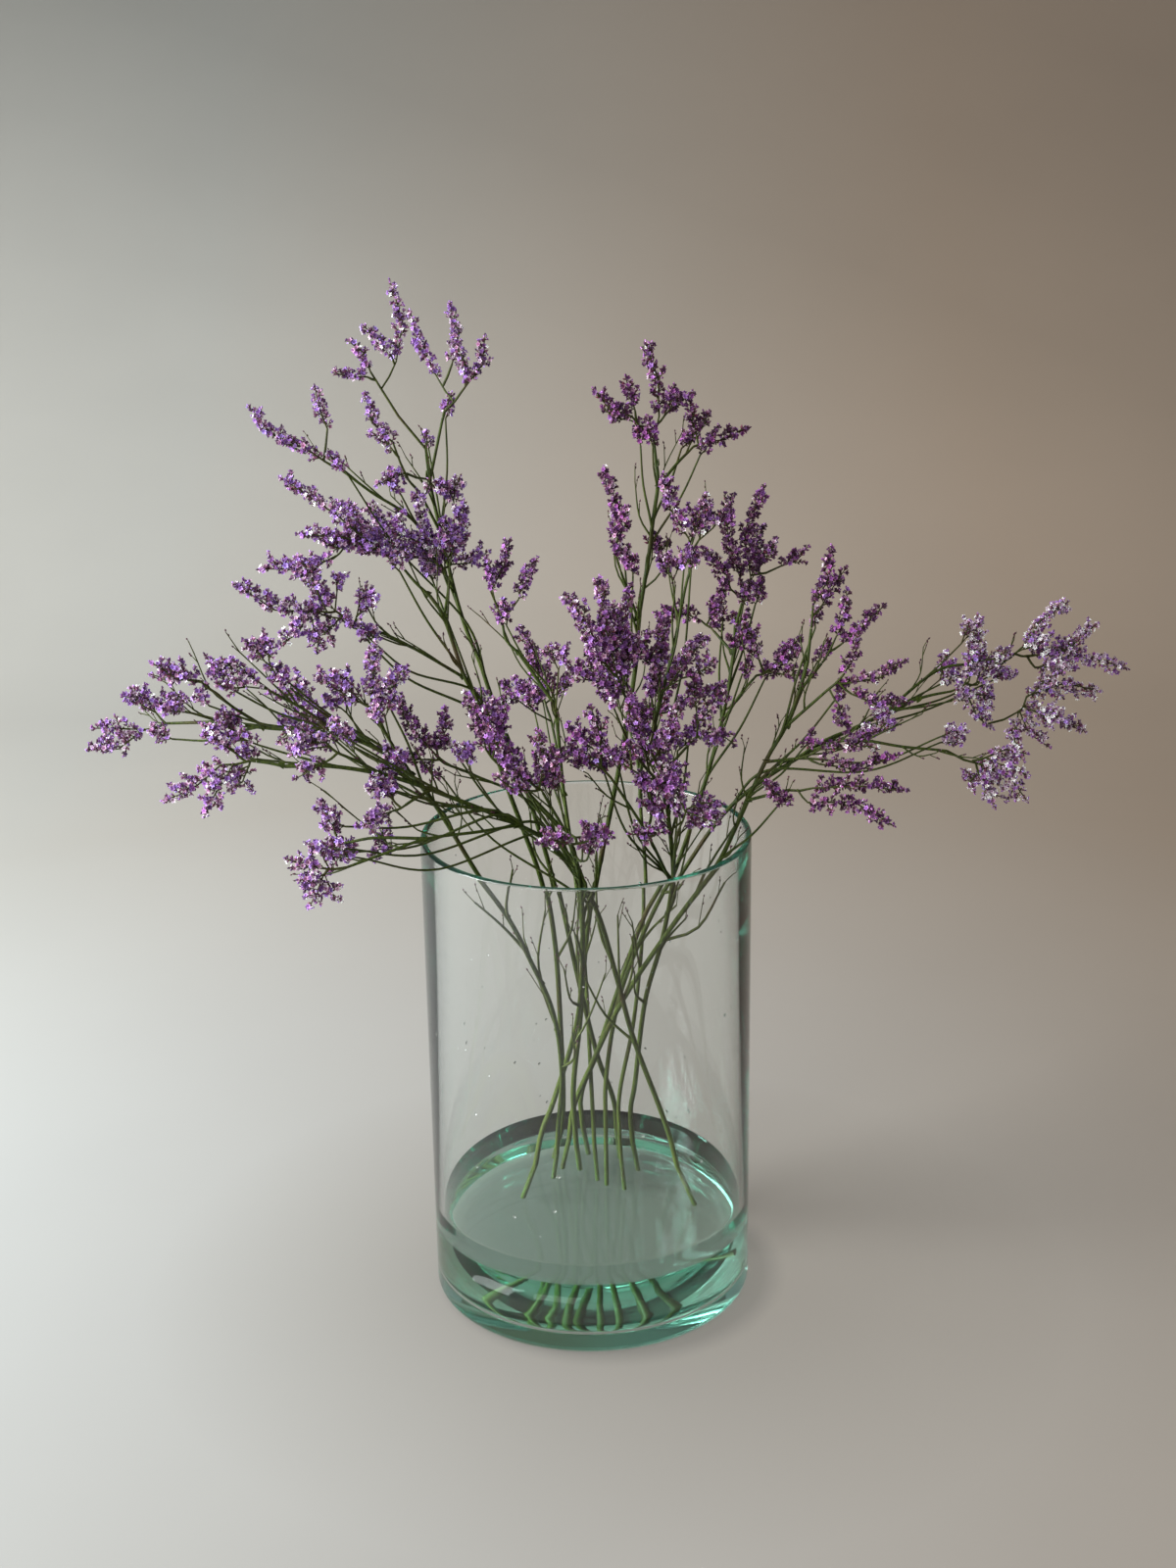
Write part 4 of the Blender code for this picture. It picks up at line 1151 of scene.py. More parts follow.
def turned(name: str, profile: Sequence[Pair], sides: int) -> Piece:
    """Returns a smooth closed piece turned round Z.

    Args:
        name: The piece's name.
        profile: Points of radius and height, from and to the axis.
        sides: How many faces go round.

    Returns:
        The piece, shaded smooth.
    """
    form = bmesh.new()
    for low, high in pairwise([ring(form, sides, *spot) for spot in profile]):
        bridge(form, low, high)
    mesh = bmesh_form(name, form)
    mesh.shade_smooth()
    return show(name, mesh)


def dress_clear(piece: Piece, slot: Slot, *nodes: str) -> None:
    """Gives a clear piece its place in the frame, and lets light pass it without a shadow."""
    piece.visible_shadow = False
    claim(piece, slot, *nodes)


@dataclass
class Vase:
    """The glass cylinder: a straight wall on a thick floor with a rounded foot and rim."""
    radius: float = 0.100
    height: float = 0.300
    wall: float = 0.004
    floor: float = 0.008
    foot_round: float = 0.0055
    floor_round: float = 0.014
    rim_round: float = 0.0016
    sides: int = 160
    steps: int = 10
    finish: ClearFinish = ClearFinish("clear_glass", ior=1.50, tint=(0.56, 0.86, 0.79), density=14.0,
                                      waves=(16.0, 16.0, 3.0), wave_height=0.00010)

    def profile(self) -> list[Pair]:
        """Returns the wall's profile, up the inside, over the rim and down the outside."""
        inner = self.radius - self.wall
        corner, rim, foot = self.floor_round, self.rim_round, self.foot_round
        points = [(0.0, self.floor), (inner / 2, self.floor)]
        points += arc((inner - corner, self.floor + corner), corner, -90, 0, self.steps)
        points += arc((inner + rim, self.height - rim), rim, 180, 90, self.steps)
        points += arc((self.radius - rim, self.height - rim), rim, 90, 0, self.steps)
        points += arc((self.radius - foot, foot), foot, 0, -90, self.steps)
        return points + [(inner / 2, 0.0), (0.0, 0.0)]

    def build(self) -> Piece:
        """Returns the vase's piece."""
        return turned("glass_vase", self.profile(), self.sides)

    def dress(self, piece: Piece) -> None:
        """Gives the piece its glass and its place in the frame."""
        piece.data.materials.append(self.finish.build())
        dress_clear(piece, Slot.GLASS, "vase")


@dataclass
class Water:
    """The water in the vase, which creeps a little up the glass."""
    vase: Vase
    level: float = 0.058
    creep: float = 0.0016
    creep_width: float = 0.0050
    creep_bend: float = 2.5
    overlap: float = 0.0001
    finish: ClearFinish = ClearFinish("clear_water", ior=1.33, tint=(0.32, 0.92, 0.76), density=7.5,
                                      waves=(30.0, 30.0, 30.0), wave_height=0.00008)

    def profile(self) -> list[Pair]:
        """Returns the water's profile, which reaches a hair into the glass all over."""
        rim = self.vase.radius - self.vase.wall + self.overlap
        bottom = self.vase.floor - self.overlap
        corner = self.vase.floor_round + self.overlap
        steps = self.vase.steps
        points = [(0.0, self.level), (rim / 2, self.level)]
        for share in (k / steps for k in range(steps + 1)):
            height = self.level + self.creep * share ** self.creep_bend
            points.append((rim - self.creep_width * (1 - share), height))
        points += arc((rim - corner, bottom + corner), corner, 0, -90, steps)
        return points + [(rim / 2, bottom), (0.0, bottom)]

    def build(self) -> Piece:
        """Returns the water's piece."""
        return turned("vase_water_body", self.profile(), self.vase.sides)

    def dress(self, piece: Piece) -> None:
        """Gives the piece its water and its place in the frame."""
        piece.data.materials.append(self.finish.build())
        dress_clear(piece, Slot.WATER, "water")


@dataclass
class Droplets:
    """Drops of water that cling to the vase's inside above the water."""
    vase: Vase
    finish: ClearFinish
    count: int = 90
    heights: Pair = (0.066, 0.285)
    height_bend: float = 1.3
    sizes: Pair = (0.0009, 0.0026)
    size_bend: int = 3
    dome: tuple[Pair, ...] = ((0.50, 0.0), (0.42, 0.14), (0.24, 0.24))
    sides: int = 10
    sink: float = 0.00004
    seed: int = 3

    def drop(self) -> bpy.types.Mesh:
        """Returns the drop's form: a flat dome one unit wide."""
        form = bmesh.new()
        rings = [ring(form, self.sides, *spot) for spot in self.dome]
        form.faces.new(rings[0])
        form.faces.new(rings[-1])
        for low, high in pairwise(rings):
            bridge(form, low, high)
        return bmesh_form("drop", form)

    def build(self) -> Piece:
        """Returns the drops' piece, with more of them low on the glass."""
        rng, spots = random.Random(self.seed), Spots()
        radius = self.vase.radius - self.vase.wall + self.sink
        for _ in range(self.count):
            turn = rng.uniform(0.0, math.tau)
            out = Vector((math.cos(turn), math.sin(turn), 0.0))
            height = between(*self.heights, rng.random() ** self.height_bend)
            size = between(*self.sizes, rng.random() ** self.size_bend)
            spots.add(out * radius + UP * height, -out, size)
        forms = shelf("drop_forms", self.drop())
        return scatter_tree().run("vase_droplets", spots.mesh(), Forms=forms, Scale=1.0, Seed=self.seed,
                                  Material=self.finish.build())

    def dress(self, piece: Piece) -> None:
        """Smooths the drops and gives them their place in the frame."""
        piece.data.shade_smooth()
        dress_clear(piece, Slot.WATER)


@dataclass
class Forms:
    """The small forms that are scattered: florets one unit long, and the scales of the stems.

    A ring is given by its radius and height, and a point's zone says which of the colours it takes.
    """
    lobes: int = 5
    waist: Pair = (0.20, 0.48)
    waist_zone: float = 0.5
    notch: Pair = (0.66, 0.86)
    notch_turn: float = 0.5
    bud: tuple[Triple, ...] = ((0.24, 0.48, 0.6), (0.22, 0.80, 2.6))
    bud_tip: Pair = (1.12, 2.9)
    shut: tuple[Triple, ...] = ((0.25, 0.45, 0.35),)
    shut_tip: Pair = (1.0, 0.5)
    scale_outline: tuple[Pair, ...] = ((-0.5, 0.0), (0.5, 0.0), (0.34, 0.5), (0.0, 1.0), (-0.34, 0.5))
    scale_faces: tuple[Pair, ...] = ((1.0, -0.30), (1.05, -0.42))
    scale_hollow: float = 0.5

    def cap(self, form: Form, rim: list, height: float) -> bmesh.types.BMVert:
        """Closes a ring with a point on the axis.

        Args:
            form: Where it is added.
            rim: The ring's points.
            height: The new point's height.

        Returns:
            The new point.
        """
        tip = ring(form, self.lobes, 0.0, height)
        bridge(form, rim, tip)
        return tip[0]

    def funnel(self, name: str, mouth: float, depth: float, tip_zone: float,
               throat_zone: float) -> bpy.types.Mesh:
        """Makes a funnel with pointed lobes.

        Args:
            name: The form's name.
            mouth: The radius to the lobes' tips.
            depth: The height of the throat.
            tip_zone: The zone at the lobes' tips.
            throat_zone: The zone in the throat.

        Returns:
            The mesh, with its zones.
        """
        form = bmesh.new()
        waist = ring(form, self.lobes, *self.waist)
        tips = ring(form, self.lobes, mouth, 1.0)
        notches = ring(form, self.lobes, mouth * self.notch[0], self.notch[1], self.notch_turn)
        foot = self.cap(form, waist, 0.0)
        throat = self.cap(form, [corner for pair in zip(tips, notches) for corner in pair], depth)
        for k in range(self.lobes):
            after = (k + 1) % self.lobes
            form.faces.new((waist[k], tips[k], notches[k]))
            form.faces.new((waist[k], notches[k], waist[after]))
            form.faces.new((waist[after], notches[k], tips[after]))
        zones = {foot: 0.0, throat: throat_zone, **dict.fromkeys(waist, self.waist_zone),
                 **dict.fromkeys(tips, tip_zone), **dict.fromkeys(notches, (tip_zone + throat_zone) / 2)}
        return self.zoned(name, form, zones)

    def spindle(self, name: str, rings: Sequence[Triple], end: Pair) -> bpy.types.Mesh:
        """Makes a body that is pointed at both ends.

        Args:
            name: The form's name.
            rings: The radius, height and zone of each ring, from the foot up.
            end: The height and zone of its tip.

        Returns:
            The mesh, with its zones.
        """
        form = bmesh.new()
        made = [ring(form, self.lobes, radius, height) for radius, height, _ in rings]
        zones = {self.cap(form, made[0], 0.0): 0.0, self.cap(form, made[-1], end[0]): end[1]}
        for low, high in pairwise(made):
            bridge(form, low, high)
        for corners, (_, _, zone) in zip(made, rings):
            zones.update(dict.fromkeys(corners, zone))
        return self.zoned(name, form, zones)

    def zoned(self, name: str, form: Form, zones: dict) -> bpy.types.Mesh:
        """Makes a form a mesh that carries its zones.

        Args:
            name: The form's name.
            form: The form, which is freed.
            zones: The zone of each of its points.

        Returns:
            The mesh, with its zones as an attribute.
        """
        values = [zones[corner] for corner in form.verts]
        mesh = bmesh_form(name, form)
        add_values(mesh, "zone", values)
        return mesh

    def florets(self) -> bpy.types.Collection:
        """Returns the florets, in the order of FloretForm."""
        return shelf("floret_forms",
                     self.funnel("a_open", mouth=0.60, depth=0.72, tip_zone=3.0, throat_zone=2.0),
                     self.funnel("b_papery", mouth=0.54, depth=0.58, tip_zone=1.0, throat_zone=0.55),
                     self.spindle("c_bud", self.bud, self.bud_tip),
                     self.spindle("d_shut", self.shut, self.shut_tip))

    def scales(self) -> bpy.types.Collection:
        """Returns the scale that clasps a stem below each fork: a thin pointed blade."""
        form = bmesh.new()
        inner, outer = ([form.verts.new((x * flare, back + self.scale_hollow * x * x, z))
                         for x, z in self.scale_outline] for flare, back in self.scale_faces)
        form.faces.new(inner)
        form.faces.new(reversed(outer))
        for k in range(len(inner)):
            after = (k + 1) % len(inner)
            form.faces.new((inner[k], outer[k], outer[after], inner[after]))
        return shelf("scale_forms", bmesh_form("scale", form))


@dataclass(frozen=True)
class FingerShape:
    """How florets crowd on a finger, the short side spike of a plume.

    A name in the plural, here and below, is a range of shares that varies the size it is named after,
    or a row to choose from.
    """
    pitch: float = 0.00078
    fewest: int = 4
    bald: float = 0.16
    length: float = 0.0031
    lengths: Pair = (0.80, 1.15)
    tip_loss: float = 0.25
    end_length: float = 0.8
    end_frost: float = 0.2
    lean_foot: float = math.radians(64)
    lean_tip: float = math.radians(22)
    jitter: float = 0.18
    axis_radius: float = 0.0003
    axis_taper: Pair = (1.0, 0.7)
    axis_brown: float = 0.3
    underside: float = -0.40
    under_tint: float = 0.5
    under_length: float = 0.8
    odds: tuple = (0.46, 0.22, 0.20, 0.12)
    frost_toll: float = 0.6
    redness_spread: float = 0.22
    faint_frost: float = 0.35


@dataclass(frozen=True)
class PlumeShape:
    """How fingers stand on a plume's bowed axis, most of them toward one side."""
    pitch: float = 0.0021
    fewest: int = 3
    stands: Pair = (0.2, 0.8)
    reach: float = 0.0078
    reaches: Pair = (0.55, 1.15)
    long_odds: float = 0.12
    long_share: float = 1.35
    swell: float = 0.20
    foot_share: float = 0.72
    tip_share: float = 0.94
    lean_foot: float = math.radians(60)
    lean_tip: float = math.radians(40)
    tip_back: float = 0.006
    most_back: float = 0.3
    end_start: float = 0.72
    bow: float = 0.15
    one_side: float = 0.62
    lift: float = 0.85
    axis_radius: float = 0.00055
    axis_taper: Pair = (1.0, 0.6)
    axis_brown: float = 0.3


@dataclass(frozen=True)
class SideShape:
    """How small plumes leave the twigs: as sisters of a plume, in tufts along a twig, and on runners."""
    depth: float = 0.110
    lean: float = math.radians(40)
    lift: float = 0.35
    stalk: float = 0.009
    radius: float = 0.00050
    taper: Pair = (1.0, 0.8)
    brown: float = 0.2
    sister_joints: Pair = (0.55, 0.97)
    sister_leans: Pair = (0.8, 1.3)
    sister_stalks: Pair = (0.6, 1.3)
    sister_share: float = 0.66
    sister_lengths: Pair = (0.7, 1.1)
    sister_least: float = 0.007
    sister_most: float = 0.024
    tuft_lean: float = math.radians(27)
    tuft_leans: Pair = (0.8, 1.2)
    tuft_lift: float = 0.6
    tuft_stalk: float = 0.027
    tuft_stalks: Pair = (0.5, 1.5)
    tuft_bow: float = 0.07
    tuft_radii: Triple = (1.3, 1.1, 1.0)
    tuft_brown: float = 0.15
    tuft_counts: tuple = (2, 3, 3)
    tuft_fork_leans: Pair = (0.5, 1.0)
    tuft_fork_stalk: float = 0.5
    tuft_plume: float = 0.0110
    tuft_plumes: Pair = (0.7, 1.3)
    runner_back: Pair = (0.020, 0.065)
    runner_aside: float = 0.009
    runner_ahead: float = 0.25
    runner_bend: float = 0.65
    runner_sag: float = 0.04
    runner_sags: Pair = (-0.3, 1.0)
    runner_taper: Pair = (1.9, 1.1)
    runner_brown: float = 0.05
    runner_lift: float = 0.3
    runner_plumes: Pair = (0.9, 1.5)


@dataclass(frozen=True)
class SprigShape:
    """Bare side twiglets with a few shut buds, sparser and longer on the stalks inside the vase."""
    pitch: float = 0.021
    length: float = 0.030
    lengths: Pair = (0.6, 1.4)
    stretches: int = 6
    lean: float = math.radians(28)
    leans: Pair = (0.6, 1.2)
    lift: float = 0.35
    bow: float = 0.09
    radius: float = 0.00050
    taper: Pair = (1.3, 0.7)
    brown: float = 0.1
    fork_lengths: Pair = (0.16, 0.34)
    fork_taper: Pair = (0.7, 0.5)
    fork_brown: float = 0.2
    bud: float = 0.0022
    buds: Pair = (0.8, 1.2)
    bud_places: Pair = (0.75, 1.0)
    bud_lean: float = 0.4
    bud_tints: Pair = (0.1, 0.5)
    bud_redness: float = 0.7
    low_pitch: float = 0.036
    low_share: float = 1.6
    low_top: float = 0.28
    wall_room: float = 0.088
    wall_height: float = 0.3
    wall_slope: float = 0.35

    def fits_vase(self, place: Vector) -> bool:
        """Says whether a sprig at a place inside the vase keeps clear of its wall."""
        room = self.wall_room - self.wall_slope * (self.wall_height - place.z)
        return place.z < self.low_top and place.xy.length < room


@dataclass
class Bunch:
    """What grows with the mood and growth of a stem: green lines, and florets at their spots."""
    stem: Stem
    lines: Lines = field(default_factory=Lines)
    spots: Spots = field(default_factory=Spots)


@dataclass
class Bouquet:
    """The cut stems and the flower sprays."""
    step: float = 0.006
    twig_step: float = 0.004
    ribs: int = 14
    groove: float = 0.10
    twig_sides: int = 4
    low_start: float = 0.09
    high_start: float = 0.33
    twig_start: float = 0.010
    starts: Pair = (0.2, 1.0)
    pitches: Pair = (0.7, 1.3)
    twig_scale: float = 0.0042
    low_scale: float = 0.0036
    link_sag: float = 0.06
    link_end_radius: float = 0.0006
    link_brown: float = 0.15
    neck_brown: float = 0.1
    seed: int = 5
    finger_shape: FingerShape = FingerShape()
    plume_shape: PlumeShape = PlumeShape()
    side_shape: SideShape = SideShape()
    sprig_shape: SprigShape = SprigShape()
    stem_finish: StemFinish = StemFinish()
    floret_finish: FloretFinish = FloretFinish()

    def __post_init__(self) -> None:
        """Makes the trees, the small forms and the materials that all stems share."""
        self.tubes = tube_tree()
        self.scatter = scatter_tree()
        self.florets = Forms().florets()
        self.scales = Forms().scales()
        self.green = self.stem_finish.build()
        self.purple = self.floret_finish.build()
        self.rng = random.Random(self.seed)
        self.scale_spots = Spots()
        self.floret_count = 0

    def tube_piece(self, name: str, lines: Lines, sides: int, groove: float) -> Piece:
        """Returns a piece of round or ribbed tubes along lines."""
        piece = self.tubes.run(name, lines.mesh(), Sides=sides, Groove=groove, Material=self.green)
        piece.data.shade_smooth()
        return piece

    def scatter_piece(self, name: str, spots: Spots, forms: bpy.types.Collection,
                      material: bpy.types.Material) -> Piece:
        """Returns a piece of small forms at their spots."""
        return self.scatter.run(name, spots.mesh(), Forms=forms, Scale=1.0, Seed=self.seed, Material=material)

    def turn(self) -> float:
        """Returns a random angle."""
        return self.rng.uniform(0.0, math.tau)

    def lean_way(self, along: Vector, turn: float, lean: float, lift: float = 0.0) -> Vector:
        """Leans a way out from an axis.

        Args:
            along: The axis.
            turn: How far round the axis it is turned.
            lean: The angle between the two.
            lift: How much it is then lifted toward the light.

        Returns:
            The way, one unit long.
        """
        side = Matrix.Rotation(turn, 3, along) @ along.orthogonal().normalized()
        way = side * math.sin(lean) + along * math.cos(lean)
        return (way + UP * lift).normalized()

    def aside(self, along: Vector) -> Vector:
        """Returns a random way square to an axis."""
        return self.lean_way(along, self.turn(), math.pi / 2)

    def inward(self, place: Vector, way: Vector) -> Vector:
        """Returns a way, turned back toward the middle where its end lies far in front or behind."""
        outside = abs((place + way).y) > self.side_shape.depth and place.y * way.y > 0.0
        return Vector((way.x, -way.y, way.z)) if outside else way

    def finger(self, a: Vector, b: Vector, bunch: Bunch) -> None:
        """Crowds florets round one finger's axis.

        Florets on the lower side of a finger that lies flat stay shut and dark.

        Args:
            a: The axis's foot.
            b: Its tip.
            bunch: What the finger belongs to, and adds to.
        """
        shape, rng, mood = self.finger_shape, self.rng, bunch.stem.mood
        along, length = (b - a).normalized(), (b - a).length
        flat = 1.0 - abs(along.z)
        bunch.lines.taper((a, b), shape.axis_radius, shape.axis_taper, shape.axis_brown)
        count = max(shape.fewest, round(length * (1.0 - shape.bald) / shape.pitch))
        open_odds, papery_odds, *shut_odds = shape.odds
        odds = (open_odds * (1.0 - shape.frost_toll * mood.frost), papery_odds * (1.0 + mood.frost),
                *shut_odds)
        turn = self.turn()
        for k in range(count):
            share = (k + 0.5) / count
            turn += GOLDEN_ANGLE
            way = self.lean_way(along, turn, between(shape.lean_foot, shape.lean_tip, share))
            way = (way + Vector([rng.gauss(0.0, shape.jitter) for _ in range(3)])).normalized()
            size = shape.length * rng.uniform(*shape.lengths) * (1.0 - shape.tip_loss * share ** 2)
            form, tint = rng.choices(list(FloretForm), odds)[0], rng.random() ** mood.depth
            if flat * way.z < shape.underside:
                form, tint, size = FloretForm.SHUT, tint * shape.under_tint, size * shape.under_length
            redness = min(1.0, max(0.0, rng.gauss(mood.redness, shape.redness_spread)))
            frost = 1.0 if rng.random() < mood.frost else rng.uniform(0.0, shape.faint_frost)
            foot = a.lerp(b, between(shape.bald, 1.0, share))
            bunch.spots.add(foot, way, size, form, tint, redness, frost)
        bunch.spots.add(b, along, shape.length * shape.end_length, FloretForm.BUD, rng.random(),
                        mood.redness, shape.end_frost)

    def plume(self, a: Vector, b: Vector, bunch: Bunch) -> None:
        """Grows one plume: a bowed axis with fingers that shorten toward its tip.

        Args:
            a: The axis's foot.
            b: Its tip.
            bunch: What the plume belongs to, and adds to.
        """
        shape, rng = self.plume_shape, self.rng
        length = (b - a).length
        side = self.aside((b - a).normalized())
        middle = a.lerp(b, 0.5) - side * length * shape.bow
        side = (side + UP * shape.lift).normalized()
        bunch.lines.taper((a, middle, b), shape.axis_radius, shape.axis_taper, shape.axis_brown)
        count = max(shape.fewest, round(length / shape.pitch))
        fingered = 1.0 - min(shape.most_back, shape.tip_back / length)
        turn = self.turn()
        for k in range(count):
            share = (k + rng.uniform(*shape.stands)) / count * fingered
            turn += GOLDEN_ANGLE
            grown = between(shape.foot_share, 1.0, min(1.0, share / shape.swell))
            fading = 1.0 + (shape.tip_share - 1.0) * max(0.0, share - shape.swell) / (1.0 - shape.swell)
            reach = bunch.stem.growth.girth * shape.reach * grown * fading * rng.uniform(*shape.reaches)
            if rng.random() < shape.long_odds:
                reach *= shape.long_share
            low, high, part = (a, middle, 2 * share) if share < 0.5 else (middle, b, 2 * share - 1)
            lean = between(shape.lean_foot, shape.lean_tip, share)
            way = self.lean_way((high - low).normalized(), turn, lean)
            root = low.lerp(high, part)
            self.finger(root, root + (way + side * shape.one_side).normalized() * reach, bunch)
        self.finger(middle.lerp(b, shape.end_start), b, bunch)

    def sister(self, root: Vector, a: Vector, b: Vector, bunch: Bunch) -> None:
        """Grows a smaller plume beside another.

        Args:
            root: Where the other's twig starts.
            a: The foot of the other's axis.
            b: Its tip.
            bunch: What both belong to, and the plume adds to.
        """
        shape, rng = self.side_shape, self.rng
        joint = root.lerp(a, rng.uniform(*shape.sister_joints))
        way = self.lean_way((b - a).normalized(), self.turn(), shape.lean * rng.uniform(*shape.sister_leans),
                            shape.lift)
        foot = joint + way * shape.stalk * rng.uniform(*shape.sister_stalks)
        bunch.lines.taper((joint, foot), shape.radius, shape.taper, shape.brown)
        length = min(shape.sister_most, (b - a).length * shape.sister_share)
        length *= rng.uniform(*shape.sister_lengths)
        self.plume(foot, foot + way * max(shape.sister_least, length), bunch)

    def tuft(self, root: Vector, along: Vector, bunch: Bunch) -> None:
        """Grows a short side twig that ends in two or three small plumes.

        Args:
            root: Where it starts.
            along: Where the line that it grows from is heading.
            bunch: What it belongs to, and adds to.
        """
        shape, rng = self.side_shape, self.rng
        way = self.lean_way(along, self.turn(), shape.tuft_lean * rng.uniform(*shape.tuft_leans),
                            shape.lift * shape.tuft_lift)
        stalk = self.inward(root, way * shape.tuft_stalk * rng.uniform(*shape.tuft_stalks))
        fork, way = root + stalk, stalk.normalized()
        sag = UP * (fork - root).length * shape.tuft_bow * (1.0 - abs(way.z))
        radii = [shape.radius * share for share in shape.tuft_radii]
        bunch.lines.add((root, root.lerp(fork, 0.5) - sag, fork), radii, shape.tuft_brown)
        turn = self.turn()
        for k in range(rng.choice(shape.tuft_counts)):
            lean = shape.lean * rng.uniform(*shape.tuft_fork_leans)
            side = self.lean_way(way, turn + math.tau * k / max(shape.tuft_counts), lean, shape.lift)
            foot = fork + side * shape.stalk * shape.tuft_fork_stalk
            bunch.lines.taper((fork, foot), shape.radius, shape.taper, shape.brown)
            spike = self.inward(foot, side * shape.tuft_plume * rng.uniform(*shape.tuft_plumes))
            self.plume(foot, foot + spike, bunch)

    def runner(self, way: Way, twig: Way, bunch: Bunch) -> None:
        """Grows a thin twig from lower on a stalk to beside another twig's end, with one small plume.

        Args:
            way: The stalk's centre line.
            twig: The other twig's centre line.
            bunch: What the thin twig belongs to, and adds to.
        """
        shape, rng = self.side_shape, self.rng
        back = rng.uniform(*shape.runner_back)
        joint = min(range(len(way)), key=lambda k: (way[k] - twig[0]).length)
        while joint > 1 and back > 0.0:
            back -= (way[joint] - way[joint - 1]).length
            joint -= 1
        root, ahead = way[joint], (way[joint + 1] - way[joint]).normalized()
        heading = (twig[-1] - twig[-2]).normalized()
        tip = twig[-1] + self.inward(twig[-1], self.aside(heading) * shape.runner_aside)
        length = (tip - root).length
        sag = UP * length * shape.runner_sag * rng.uniform(*shape.runner_sags)
        line = smooth_way([root, root + ahead * length * shape.runner_ahead,
                           root.lerp(tip, shape.runner_bend) - sag, tip], self.step)
        bunch.lines.taper(line, shape.radius, shape.runner_taper, shape.runner_brown)
        ahead = (heading + UP * shape.runner_lift).normalized()
        spike = self.inward(tip, ahead * shape.tuft_plume * rng.uniform(*shape.runner_plumes))
        self.plume(tip, tip + spike, bunch)

    def sprig(self, root: Vector, along: Vector, bunch: Bunch, share: float = 1.0) -> None:
        """Grows a bare twiglet that forks and ends in shut buds.

        Args:
            root: Where it starts.
            along: Where the line that it grows from is heading.
            bunch: What it belongs to, and adds to.
            share: How long and thick it is, as a share of its shape's size.
        """
        shape, rng = self.sprig_shape, self.rng
        way = self.lean_way(along, self.turn(), shape.lean, shape.lift)
        length = shape.length * share * rng.uniform(*shape.lengths)
        way = self.inward(root, way * length).normalized()
        tip = root + way * length
        bow = (self.aside(way) - UP) * length * shape.bow
        spine = smooth_way([root, root.lerp(tip, 0.5) + bow, tip], length / shape.stretches)
        bunch.lines.taper(spine, shape.radius * share, shape.taper, shape.brown)
        for start in (spine[(len(spine) - 1) // 2], spine[-2], tip):
            side = self.lean_way(way, self.turn(), shape.lean * rng.uniform(*shape.leans), shape.lift)
            end = start + side * length * rng.uniform(*shape.fork_lengths)
            bunch.lines.taper((start, end), shape.radius, shape.fork_taper, shape.fork_brown)
            for spot in shape.bud_places:
                facing = self.lean_way(side, self.turn(), shape.bud_lean)
                bunch.spots.add(start.lerp(end, spot), facing, shape.bud * rng.uniform(*shape.buds),
                                FloretForm.SHUT, rng.uniform(*shape.bud_tints), shape.bud_redness)

    def places_along(self, way: Way, pitch: float, first: float) -> Iterator[tuple[Vector, Vector]]:
        """Picks places along a line.

        Args:
            way: The line's points.
            pitch: About how far apart the places lie.
            first: The length at the line's start that stays bare.

        Yields:
            Each place, and where the line is heading there.
        """
        run, due = 0.0, first + pitch * self.rng.uniform(*self.starts)
        for a, b in pairwise(way):
            run += (b - a).length
            if run > due:
                due = run + pitch * self.rng.uniform(*self.pitches)
                yield a, (b - a).normalized()

    def bunch_pieces(self, bunch: Bunch, lines_name: str, spots_name: str, *nodes: str) -> None:
        """Makes and dresses a bunch's two pieces.

        Args:
            bunch: The bunch, fully grown.
            lines_name: The name for the piece of its green lines.
            spots_name: The name for the piece of its florets.
            nodes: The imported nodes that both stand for.
        """
        self.floret_count += len(bunch.spots.places)
        claim(self.tube_piece(lines_name, bunch.lines, self.twig_sides, 0.0), Slot.GREEN, *nodes)
        florets = self.scatter_piece(spots_name, bunch.spots, self.florets, self.purple)
        claim(florets, Slot.FLORET, *nodes)

    def stem(self, stem: Stem) -> None:
        """Builds a green stem with its twigs, its side tufts, and its bare sprigs."""
        lines, bunch, sprigs = Lines(), Bunch(stem), self.sprig_shape
        way, radii = stalk_line(stem, self.step)
        lines.add(way, radii)
        twigs = twig_lines(stem, self.step, self.twig_step)
        for line in twigs:
            lines.taper(line, TWIG_RADIUS, (1.0, TWIG_END_RADIUS / TWIG_RADIUS))
            self.scale_spots.add(line[0], (line[1] - line[0]).normalized(), self.twig_scale)
        for place, heading in self.places_along(way, sprigs.low_pitch, self.low_start):
            if sprigs.fits_vase(place):
                self.sprig(place, heading, bunch, sprigs.low_share)
                self.scale_spots.add(place, heading, self.low_scale)
        for twig in twigs:
            for _ in range(stem.growth.runners):
                self.runner(way, twig, bunch)
        for line, first in [(way, self.high_start)] + [(twig, self.twig_start) for twig in twigs]:
            for place, heading in self.places_along(line, sprigs.pitch, first):
                self.sprig(place, heading, bunch)
            for place, heading in self.places_along(line, stem.growth.tuft_pitch, first):
                self.tuft(place, heading, bunch)
        skin = self.tube_piece("green_" + stem.name, lines, self.ribs, self.groove)
        claim(skin, Slot.GREEN, stem.name)
        self.bunch_pieces(bunch, "sprigs_" + stem.name, "tufts_" + stem.name)

